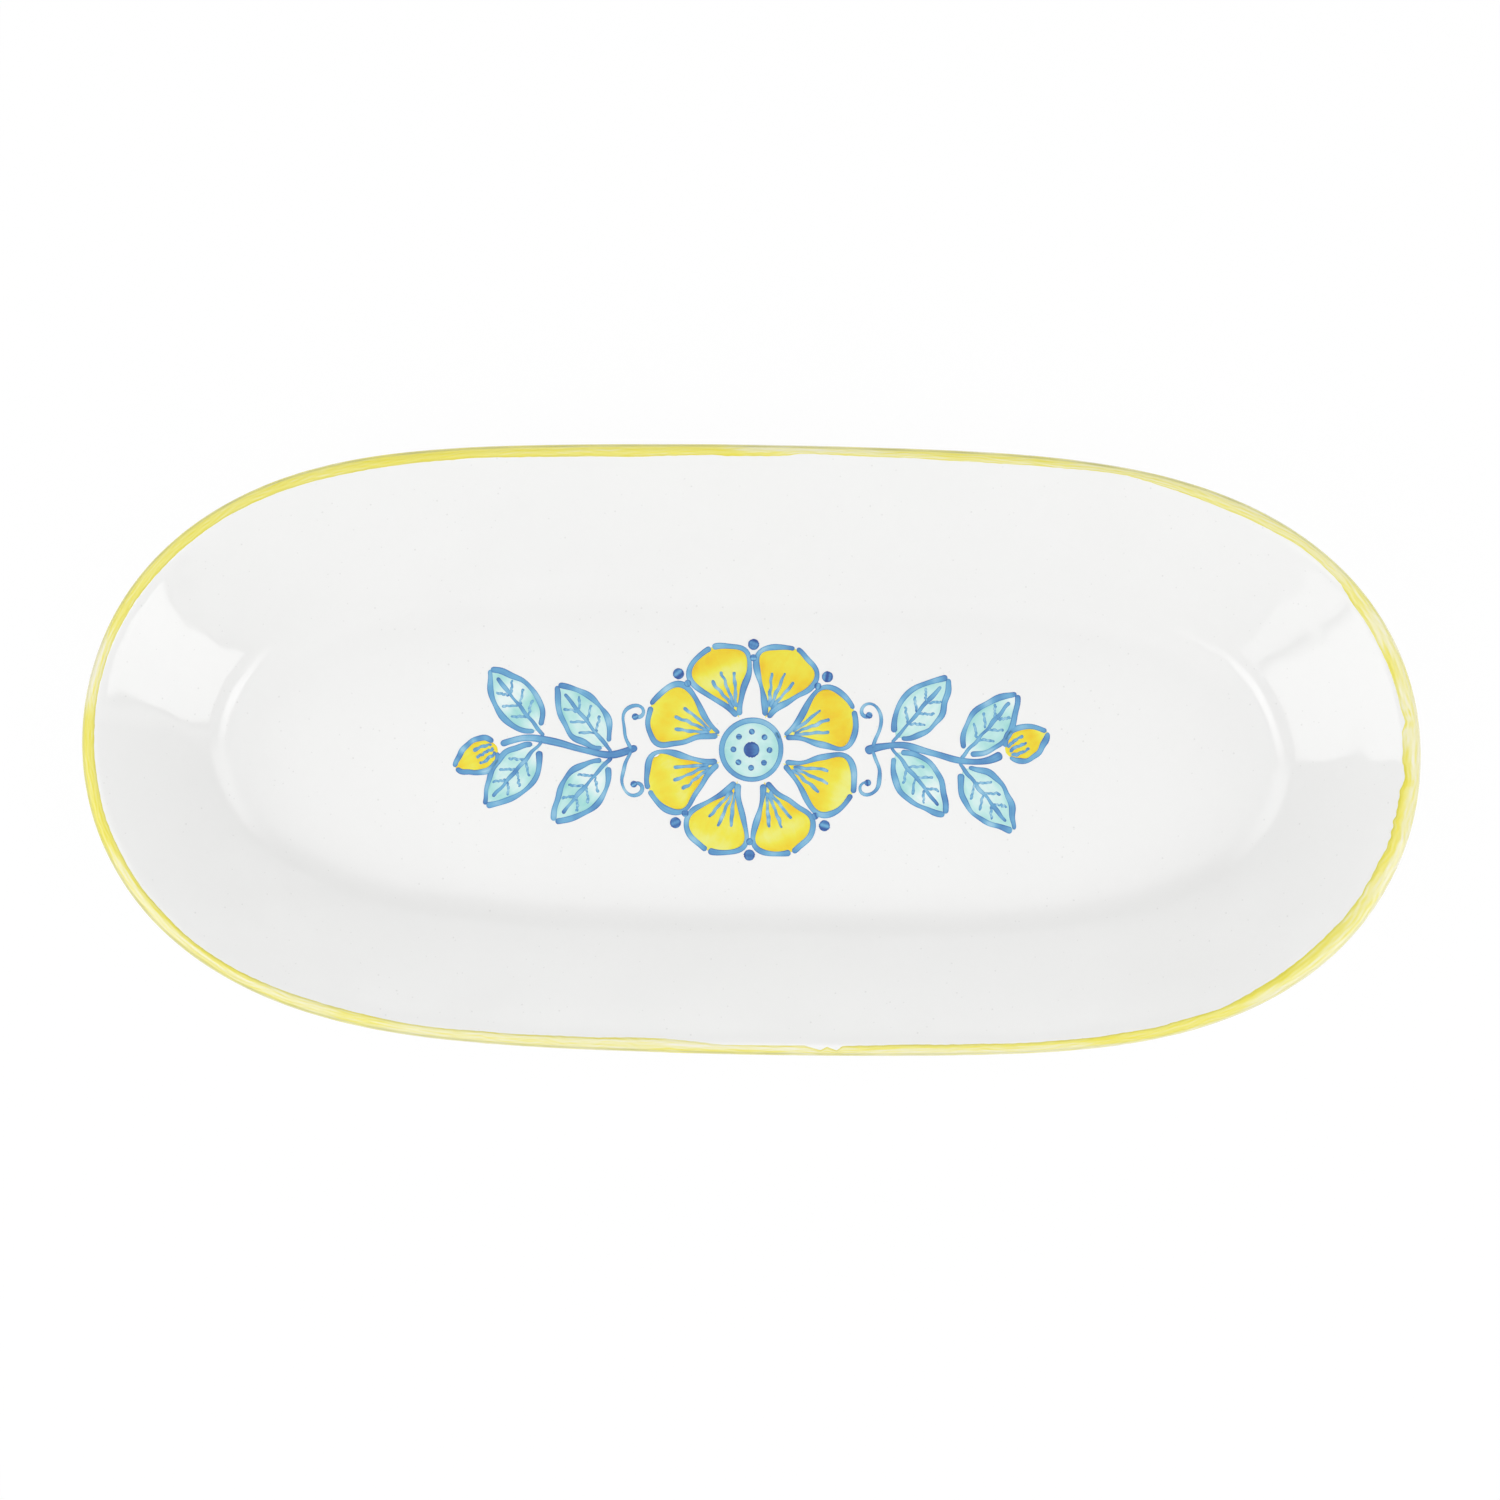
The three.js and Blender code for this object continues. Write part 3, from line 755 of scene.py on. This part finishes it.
tree, shader = finish_of("yellow_band", GLOSS)
skin_of(tree, shader, PAINT_MOTTLE, PAINT_SPECKS)
yellow = brushed(tree, YELLOW_STEPS, YELLOWS, {"Streaks": 0.5, "Run": 14.0, "Clouds": 0.12, "Pooling": 0.0})
drained_and_shade = calc("MULTIPLY", stored(tree, "drained_and_shade"), DULLING, clamp=True)
wire(mixed(drained_and_shade, yellow, DULL_YELLOW), shader, "Base Color")

column = np.tile(share, len(lane))
across_band = np.repeat(np.linspace(0, 1, len(lane)), BAND_COLUMNS)


def past_start(value):
    """Corner values from 0 to 1 round a loop, past 1 where a face crosses the start."""
    return np.where(value.max(-1, keepdims=True) - value > 0.5, value + 1, value)


def brush_map(faces):
    """Centimetres along the rim, and the way across the band."""
    return np.stack([past_start(column[faces]) * rim_length / 10, lane.ravel()[faces // BAND_COLUMNS]], -1)


def length_map(faces):
    """The strip cut into lengths that lie one above the other."""
    if not len(faces):
        return np.empty((0, 3, 2))
    value = past_start(column[faces]) * BAND_TURNS
    turn = np.floor(value.min(-1, keepdims=True) + 1e-6)
    down = past_start(across_band[faces]) / (1 + 1 / len(lane))
    return np.stack([value - turn, (turn + BELOW + TAKEN * down) / BAND_TURNS], -1)


solid = (grid, ring_faces(len(lane), BAND_COLUMNS, True), np.empty((0, 3), int))
values = {"load": load.ravel(), "seed": np.full(len(grid), BAND_SEED), "drained_and_shade": dull.ravel()}
maps = {"Brush": brush_map, "OFBake": length_map}
volume = add_piece("brushed_band", solid, "yellow_band", "rim_band", maps, values)
print("brushed band:", len(grid), "points,", round(volume), "mm3")

# %% [markdown]
# ## Brush strokes
# The garland in the well is painted freehand: watery fills first, then blue lines with darker ends, where
# the brush set down and lifted. A texture would be the usual way, but each fill is a piece of its own in
# the solids, so each stroke is a thin flat loop carried along its path, a twentieth of a millimetre thick,
# which follows the floor. Its strength is stored at its points for the brush colours to read.

# %% Strokes
LAYER, SINK = 0.05, 0.04  # thickness of one layer of colour, and how deep its underside lies in the glaze
STROKE_ROWS = 9  # points across a stroke

painter = np.random.default_rng(23)


def turned(points, angle, move=(0, 0)):
    """Plane points turned about the origin and then moved."""
    c, s = np.cos(angle), np.sin(angle)
    return np.asarray(points) @ np.array([[c, s], [-s, c]]) + move


def on_circle(radius, turn):
    """Points of a circle round the origin: radius (cos t, sin t)."""
    return radius * np.stack([np.cos(turn), np.sin(turn)], -1)


def sideways(path):
    """Unit vectors square to the path, to its left."""
    step = np.gradient(path, axis=0)
    return np.stack([-step[:, 1], step[:, 0]], 1) / np.linalg.norm(step, axis=1, keepdims=True)


def slow_ends(count):
    """Shares from 0 to 1 that lie closer at both ends: (1 - cos) / 2 of half a turn."""
    return (1 - np.cos(np.linspace(0, np.pi, count))) / 2


def stroke(path, half, layer, load):
    """A loop at each path point: over it at v half width, v = -cos, height layer + 1 - v^8, and back."""
    v = -np.cos(np.linspace(0, np.pi, STROKE_ROWS))
    height = np.concatenate([LAYER * (layer + 1 - v ** 8), np.full(STROKE_ROWS, -SINK)])
    v = np.concatenate([v, v[::-1]])
    flat = path[1:-1, None] + sideways(path)[1:-1, None] * (half[1:-1, None] * v)[..., None]
    z = FLOOR_TOP + unevenness(flat) + height
    tips = np.column_stack([path[[0, -1]], FLOOR_TOP + unevenness(path[[0, -1]])])
    solid = capped(np.concatenate([flat, z[..., None]], -1), *tips)
    gone = distances(path) / 10
    spread = np.broadcast_arrays(gone[1:-1, None], (v + 1) / 2)
    flow = np.vstack([np.stack(spread, -1).reshape(-1, 2), [(gone[0], 0.5), (gone[-1], 0.5)]])
    strength = np.concatenate([np.repeat(load[1:-1], len(v)), load[[0, -1]]])
    return (*solid, flow, strength, np.full(len(strength), painter.uniform(0, 50)))


print("brush ready, layer of colour in mm:", LAYER)

# %% Lines, fills and dots
LINE_STEP, FEWEST, MOST = 0.6, 18, 90  # mm between a line's points, and how many it may have
LINE_SHAKE, LINE_SWELL, LINE_LOAD = 0.13, 0.13, 0.09  # unevenness of a line: mm, share of width, strength
LINE, LINE_STRENGTH, LINE_END = 1.9, 0.38, 0.55  # mm wide, strength, share of the width that rounds its ends
FILL_STEPS, FILL_SWELL, FILL_LOAD = 44, 0.025, 0.16  # points along a fill, and its unevenness


def line(points, width, layer=1, load=LINE_STRENGTH, pooled=0.35):
    """A brush line along a path: wavering, of uneven width, round at its ends, and darker there."""
    points = np.asarray(points, float)
    gone = distances(points)
    share = slow_ends(int(np.clip(gone[-1] / LINE_STEP, FEWEST, MOST)))
    path = picked(points, gone, share * gone[-1])
    path = path + sideways(path) * (LINE_SHAKE * waver(share, 4, 1, 5, painter))[:, None]
    to_end = np.minimum(share, 1 - share) * gone[-1]
    ends = np.sqrt(1 - (1 - np.clip(to_end / (LINE_END * width), 0, 1)) ** 2)
    half = width / 2 * ends * (1 + LINE_SWELL * waver(share, 3, 1, 4, painter))
    first, last = pooled * painter.uniform(0.3, 1.2, 2)
    strength = load + LINE_LOAD * waver(share, 4, 1, 5, painter)
    strength += first * np.exp(-share * gone[-1] / width) + last * np.exp(-(1 - share) * gone[-1] / width)
    return stroke(path, half, layer, strength)


def fill(length, half_of, angle, move, load, layer=0):
    """A fill that runs straight for its length, with a half width given at each share of it."""
    share = slow_ends(FILL_STEPS)
    half = half_of(share) * (1 + FILL_SWELL * waver(share, 4, 2, 7, painter))
    strength = load + FILL_LOAD * waver(share, 3, 1, 3, painter)
    return stroke(turned(np.stack([length * share, 0 * share], 1), angle, move), half, layer, strength)


def disc(centre, radius, angle, load, layer=0):
    """A round fill: half width sqrt(1 - (2 s - 1)^2) radius along a diameter at an angle."""
    start = turned((-radius, 0), angle, centre)
    return fill(2 * radius, lambda s: radius * np.sqrt(1 - (2 * s - 1) ** 2), angle, start, load, layer)


def dot(centre, radius, load=0.85):
    """A round touch of the brush on top of the lines."""
    return disc(centre, radius, painter.uniform(0, np.pi), load, 2)


print("width of a line in mm:", LINE)

# %% Painted pieces
OUTLINE_FROM, OUTLINE_OUT = 0.03, 0.3  # where on a fill its outline starts, and mm that it lies outside

painted = {}  # triangles of each painted piece


def paint(name, strokes, slot, stands_for=None):
    """Joins strokes into one piece, and notes its number of triangles."""
    first = np.cumsum([0] + [len(s[0]) for s in strokes[:-1]])
    points, flow, load, seed = (np.concatenate([s[k] for s in strokes]) for k in (0, 3, 4, 5))
    quads, fans = (np.concatenate([s[k] + n for s, n in zip(strokes, first)]) for k in (1, 2))
    maps, values = {"Brush": lambda faces: flow[faces]}, {"load": load, "seed": seed}
    add_piece(name, (points, quads, fans), slot, stands_for, maps, values)
    painted[name] = len(quads) * 2 + len(fans)


def veined(kind, tail, slot, length, half_of, lay, load, veins):
    """A fill, then its outline and its veins, each given by its path in the fill's plane, width and load."""
    paint(f"{kind}_fill_{tail}", [fill(length, half_of, *lay, load)], slot, f"{kind}_{tail}")
    s = np.linspace(OUTLINE_FROM, 1.0, 90)
    edges = [((length * s, side_of * (half_of(s) + OUTLINE_OUT)), LINE, LINE_STRENGTH) for side_of in (1, -1)]
    lines = []
    for path, width, strength in edges + veins:
        lines.append(line(turned(np.stack(path, 1), *lay), width, load=strength))
    paint(f"{kind}_lines_{tail}", lines, "blue_line")


print("outline outside its fill by mm:", OUTLINE_OUT)

# %% [markdown]
# ## The flower
# Eight petals stand round a small centre. A petal fills its share of the circle but for a gap, and swells
# towards its tip, so its half width is the room in that share times a sine stretched outwards. The outline
# is drawn as a painter would: one stroke up each side, meeting at the tip.

# %% Flower
PETALS, PETAL_GAP, STROKE_GAP = 8, 3.0, 1.5  # number, then mm
FLOWER_MARGIN, CENTRE_SHARE = 9.0, 0.27  # mm from petals to fold, and the centre's share of the radius
PETAL_VEINS = ((-0.42, 0.9), (0.0, 1.0), (0.42, 0.9))  # share of the half width, share of the full reach
PETAL_VEIN, PETAL_SPAN = (1.1, 0.3), (0.16, 0.66)  # mm wide and strength, then from and to along the petal
LAP_START, LAP = 0.4, 2.08 * np.pi  # the ring round the centre closes a little past its start
RING_WIDTH, MIDDLE_DOT, SEED_RING = 1.8, 2.7, 6.2  # mm
TOUCHES = ((36.2, 1.9, 0.75), (31.6, 1.2, 0.6))  # distance of dots from the middle, radius in mm, strength

flower_radius = WIDTH / 2 - WALL_RUN - FLOWER_MARGIN
centre_radius = CENTRE_SHARE * flower_radius
petal_start = centre_radius + STROKE_GAP
petal_length = flower_radius - petal_start
sector = np.pi / PETALS


def petal_half(s):
    """Half the room of the petal's sector, less the gap, times sin(pi s^1.5)^0.7."""
    room = (petal_start + petal_length * s) * np.tan(sector) - PETAL_GAP / 2
    return np.abs(np.sin(np.pi * s ** 1.5)) ** 0.7 * room


veins = []
for bend, reach in PETAL_VEINS:
    s = np.linspace(*PETAL_SPAN, 30) * reach
    veins.append(((petal_length * s, bend * petal_half(s)), *PETAL_VEIN))
for k in range(PETALS):
    turn = (2 * k + 1) * sector
    lay = (turn, on_circle(petal_start, turn))
    veined("petal", k + 1, "gold_wash", petal_length, petal_half, lay, load=0.42, veins=veins)

paint("centre_fill", [disc((0, 0), centre_radius, angle=0, load=0.4)], "aqua_wash", "flower_centre")
lap = np.linspace(LAP_START, LAP_START + LAP, 120)
seeds = [line(on_circle(centre_radius, lap), RING_WIDTH), dot((0, 0), MIDDLE_DOT)]
seeds += [dot(on_circle(SEED_RING, 2 * k * sector), radius=1.0, load=0.7) for k in range(PETALS)]
paint("centre_lines", seeds, "blue_line")
touches = []
for k in range(PETALS):
    if k % (PETALS // 2):  # the stems take the places at both sides
        touches += [dot(on_circle(away, 2 * k * sector), radius, load) for away, radius, load in TOUCHES]
paint("petal_touches", touches, "blue_line")
print("flower:", len(painted), "pieces,", sum(painted.values()), "triangles")

# %% [markdown]
# ## The sprigs
# On each side a stem sways out of the flower, with two pairs of leaves and a bud at its end. The stem is a
# cubic Bezier curve, and leaves and buds are fills like the petals. The left sprig is the right one turned
# half round, but each stroke is drawn afresh, so no two are alike. Tendrils turn faster as they go.

# %% Stems, leaves and buds
STEM_WIDTH, STEM_SWAY, LEAF_PAIRS, LEAF_LENGTH, LEAF_GAP = 2.4, 9.0, 2, 27.0, 4.5
SPRIG_SHARE = 0.36  # the stem's share of the floor between flower and fold
LEAF_ANGLE, LEAF_JOINT = np.radians(50), 0.45  # off the stem, and where on its part of the stem a pair stands
LEAF_RIB, RIB_SPAN = (1.3, 0.4), (-0.09, 0.86)  # mm wide and strength, then from and to along the leaf
LEAF_VEIN, LEAF_SPAN = (0.85, 0.25), (0.06, 0.72)  # the same for veins, from and to between rib and edge
LEAF_VEINS, VEIN_LEAN = (0.22, 0.40, 0.58), 0.20  # where veins leave the rib, and how far forward they lean
BUD_LENGTH, BUD_WIDTH, BUD_VEINS = 16.0, 11.0, (-0.45, 0.0, 0.45)  # mm, then shares of the half width
BUD_VEIN, BUD_SPAN = (1.1, 0.35), (0.08, 0.5)
TENDRIL_AT, TENDRIL_HEADING, TENDRIL_CURL = 0.05, 1.2, 5.6  # share of the stem, then radians
TENDRIL_LENGTH, TENDRIL_WIDTH, TENDRIL_DOT = 26, 1.2, 1.15  # mm

sprig_start = flower_radius + STROKE_GAP
sprig_length = SPRIG_SHARE * (LENGTH / 2 - WALL_RUN - sprig_start)
leaf_width = sprig_length / LEAF_PAIRS * np.sin(LEAF_ANGLE) - LEAF_GAP
t = np.linspace(0, 1, 200)[:, None]
knots = np.array([(0, 0), (0.35, STEM_SWAY), (0.65, -STEM_SWAY), (1, 0)]) * [sprig_length, 1]
stem = knots[0] * (1 - t) ** 3 + 3 * knots[1] * t * (1 - t) ** 2
stem = stem + 3 * knots[2] * t * t * (1 - t) + knots[3] * t ** 3 + [sprig_start, 0]
stem_gone = distances(stem)


def on_stem(share):
    """The point at a share of the stem's length, and the unit vector along the stem there."""
    at = share * stem_gone[-1]
    ahead = picked(np.gradient(stem, axis=0), stem_gone, at)
    return picked(stem, stem_gone, at), ahead / np.linalg.norm(ahead)


def leaf_half(s):
    """Half the leaf's width times sin(pi s^0.85)^0.9."""
    return leaf_width / 2 * np.abs(np.sin(np.pi * s ** 0.85)) ** 0.9


def bud_half(s):
    """Half the bud's width times sin(pi s^0.75)^0.8."""
    return BUD_WIDTH / 2 * np.abs(np.sin(np.pi * s ** 0.75)) ** 0.8


def tendril(start, heading, length, curl):
    """A path whose heading is its start plus curl s^3, summed up step by step."""
    s = np.linspace(0, 1, 120)
    return start + np.cumsum(on_circle(length / len(s), heading + curl * s ** 3), axis=0)


s = np.linspace(*RIB_SPAN, 40)
leaf_veins = [((LEAF_LENGTH * s, 0 * s), *LEAF_RIB)]
v = np.linspace(*LEAF_SPAN, 24)
for along_leaf in LEAF_VEINS:
    s = along_leaf + VEIN_LEAN * v
    leaf_veins += [((LEAF_LENGTH * s, side_of * leaf_half(s) * v), *LEAF_VEIN) for side_of in (1, -1)]
s = np.linspace(*BUD_SPAN, 24)
bud_veins = [((BUD_LENGTH * s, bend * bud_half(s)), *BUD_VEIN) for bend in BUD_VEINS]

for side, half_turn in (("right", 0.0), ("left", np.pi)):
    stem_line = line(turned(stem, half_turn), STEM_WIDTH, load=0.45)
    paint(f"stem_stroke_{side}", [stem_line], "blue_line", f"stem_{side}")
    for k in range(2 * LEAF_PAIRS):
        side_of = -1 if k % 2 else 1
        joint, ahead = on_stem((k // 2 + LEAF_JOINT) / LEAF_PAIRS)
        root = joint + side_of * (STEM_WIDTH / 2 + STROKE_GAP) * np.array([-ahead[1], ahead[0]])
        lay = (side_of * LEAF_ANGLE + half_turn, turned(root, half_turn))
        veined("leaf", f"{side}_{k + 1}", "aqua_wash", LEAF_LENGTH, leaf_half, lay,
               load=0.34, veins=leaf_veins)
    tip, ahead = on_stem(1.0)
    lay = (np.arctan2(ahead[1], ahead[0]) + half_turn, turned(tip + STROKE_GAP * ahead, half_turn))
    veined("bud", side, "gold_wash", BUD_LENGTH, bud_half, lay, load=0.5, veins=bud_veins)
    curls = []
    for side_of in (1, -1):
        heading, curl = side_of * TENDRIL_HEADING, side_of * TENDRIL_CURL
        path = tendril(on_stem(TENDRIL_AT)[0], heading, TENDRIL_LENGTH, curl)
        curls.append(line(turned(path, half_turn), TENDRIL_WIDTH, load=0.36))
        curls.append(dot(turned(path[-1], half_turn), TENDRIL_DOT, load=0.7))
    paint(f"tendrils_{side}", curls, "blue_line")
print("garland:", len(painted), "pieces,", sum(painted.values()), "triangles")

# %% [markdown]
# ## Floor, camera and light
# The platter is seen from straight above on white, through a longer lens, which keeps the walls from
# leaning. One even white sky could light it, but a glossy wall mirrors the room. So two soft boxes stand in
# front, placed by the direction in which an end wall mirrors them, with a black card behind each that gives
# its reflection a crisp edge. Strips with fading ends shine in the folds, dim panels stand farther off, and
# the world is a pale sweep with a dark doorway behind and a brighter ceiling, back, sides and horizon.

# %% Floor
FLOOR_HALF, FLOOR_DROP = 12.0, 0.0002  # metres
PAPER_GLOW = 0.95  # share of plain white, which leaves the rest to show the shadow
SQUARE = np.array([(-1, -1), (1, -1), (1, 1), (-1, 1)])


def sheet(name, half, height, finish):
    """A rectangle of this half size, flat at a height over its origin."""
    mesh = bpy.data.meshes.new(name)
    mesh.from_pydata(np.column_stack([SQUARE * half, np.full(4, height)]), [], [(0, 1, 2, 3)])
    mesh.materials.append(finishes[finish])
    return linked(name, mesh)


def matt(name, roughness, grey):
    """A finish of one grey without any shine."""
    tree, shader = finish_of(name, roughness)
    shader.inputs["Base Color"].default_value = (grey, grey, grey, 1)
    shader.inputs["Specular IOR Level"].default_value = 0.0
    return tree, shader


tree, shader = matt("white_paper", roughness=0.9, grey=0.97)
ray = put(tree, "ShaderNodeLightPath").outputs
mirrored = calc("MAXIMUM", ray["Is Glossy Ray"], ray["Is Transmission Ray"])
seen = calc("MAXIMUM", ray["Is Camera Ray"], mirrored)
glow = put(tree, "ShaderNodeEmission", {"Color": (1, 1, 1, 1), "Strength": 1.0})
share_seen = product(seen, PAPER_GLOW)
lit = put(tree, "ShaderNodeMixShader", {0: share_seen, 1: shader.outputs[0], 2: glow.outputs[0]})
wire(lit.outputs[0], tree.nodes["Material Output"], "Surface")
studio_floor = sheet("studio_floor", FLOOR_HALF, -FLOOR_DROP, "white_paper")
print("floor:", 2 * FLOOR_HALF, "m square")

# %% Camera
LENS, SENSOR = 85, 36
TURN = np.radians(1.17)  # the platter lies turned by a little in the picture
EYE = (-0.0005, -0.0001, 1.228)

camera = linked("camera", bpy.data.cameras.new("camera"))
camera.data.lens, camera.data.sensor_width = LENS, SENSOR
camera.location, camera.rotation_euler = EYE, (0, 0, TURN)
bpy.context.scene.camera = camera
bpy.context.scene.view_settings.view_transform = "Standard"
print("camera height in m:", EYE[2])

# %% Lamps
CARD_GAP = 0.004  # metres from a box to the card behind it
LEFT_WALL, RIGHT_WALL = (-0.195, 0.02, 0.03), (0.195, 0.02, 0.03)
LEFT_FOLD, RIGHT_FOLD = (-0.174, 0.015, 0.012), (0.174, 0.015, 0.012)

matt("black_card", roughness=1.0, grey=0.004)


def soft_box(name, seen_from, azimuth, elevation, width, height, radiance, fade=None, rim=0.0, distance=1.7):
    """A rectangle of light, seen from a point under these angles in degrees: its watts are pi area radiance.
    Its ends may fade over shares of its width, and a black card may stand out behind it by some degrees."""
    turn, rise = np.radians(azimuth), np.radians(elevation)
    away = Vector((np.cos(turn) * np.cos(rise), np.sin(turn) * np.cos(rise), np.sin(rise)))
    lamp = bpy.data.lights.new(name, "AREA")
    lamp.shape = "RECTANGLE"
    lamp.size, lamp.size_y = (2 * distance * np.tan(np.radians(angle) / 2) for angle in (width, height))
    lamp.energy = np.pi * lamp.size * lamp.size_y * radiance
    box = linked(name, lamp)
    box.location = Vector(seen_from) + away * distance
    box.rotation_euler = away.to_track_quat("Z", "Y").to_euler()
    box.visible_camera = False
    if fade:
        lamp.use_nodes = True
        tree = lamp.node_tree
        place = put(tree, "ShaderNodeNewGeometry").outputs["Parametric"]
        across = put(tree, "ShaderNodeSeparateXYZ", {0: place}).outputs[0]
        strength = product(eased(across, 0.0, fade[0]), eased(across, 1.0, 1.0 - fade[1]))
        wire(strength, tree.nodes["Emission"], "Strength")
    if rim:
        half = [distance * np.tan(np.radians(angle + 2 * rim) / 2) for angle in (width, height)]
        backing = sheet(name + "_card", half, CARD_GAP, "black_card")
        backing.location, backing.rotation_euler = box.location, box.rotation_euler
        backing.visible_camera = False
    return lamp.energy


# Each row: name, where it is seen from, azimuth, elevation, width and height in degrees, and radiance
power = [
    soft_box("right_box", LEFT_WALL, -27, 22.5, 28.3, 26, 2.6, rim=1.8),
    soft_box("left_box", RIGHT_WALL, -156.1, 24, 40.6, 23, 2.4, fade=(0.01, 0.22), rim=0.6),
    soft_box("right_strip", LEFT_FOLD, -27, 55.1, 42, 8, 3.2, fade=(0.5, 0.5)),
    soft_box("left_strip", RIGHT_FOLD, -145, 55.6, 58, 8, 3.0, fade=(0.5, 0.5)),
    soft_box("left_panel", RIGHT_WALL, -131.5, 24, 16, 26, 0.95, distance=2.0),
    soft_box("right_low_panel", LEFT_WALL, -9, 24, 9, 26, 0.4, distance=2.0),
]
print("lamps:", len(power), "watts:", [round(float(p), 1) for p in power])

# %% World
DOME, DOORWAY, DIM = 0.632, 0.05, 0.40  # light all round, in the doorway, and low at the sides
CEILING, BACK, SIDES, HORIZON = 0.40, 0.55, 1.4, 0.5  # added overhead, low behind, at the sides, far off

world = bpy.data.worlds.new("white_sweep")
bpy.context.scene.world = world
world.use_nodes = True
tree = world.node_tree
direction = put(tree, "ShaderNodeTexCoord").outputs["Generated"]
x, y, z = put(tree, "ShaderNodeSeparateXYZ", {0: direction}).outputs
wide = calc("ABSOLUTE", x)
below_top = eased(z, 0.95, 0.80)
doorway = product(eased(y, 0.34, 0.62), eased(z, 0.40, 0.60), below_top)
overhead = eased(z, 0.80, 0.96)
low_back = product(eased(y, 0.1, 0.5), eased(z, 0.56, 0.40))
aside = product(eased(wide, 0.3, 0.55), eased(y, -0.05, 0.15), eased(z, 0.58, 0.70), below_top)
horizon = eased(z, 0.12, 0.04)
low_side = product(eased(wide, 0.45, 0.65), eased(y, -0.10, 0.0), eased(z, 0.40, 0.48), eased(z, 0.66, 0.58))
light = calc("MULTIPLY_ADD", doorway, DOORWAY - DOME, DOME)
for where, added in ((overhead, CEILING), (low_back, BACK), (aside, SIDES), (horizon, HORIZON)):
    light = calc("MULTIPLY_ADD", where, added, light)
light = calc("MULTIPLY_ADD", low_side, calc("SUBTRACT", DIM, light), light)
background = tree.nodes["Background"]
background.inputs["Color"].default_value = (1, 1, 1, 1)
wire(light, background, "Strength")
print("world:", world.name, len(tree.nodes), "nodes")
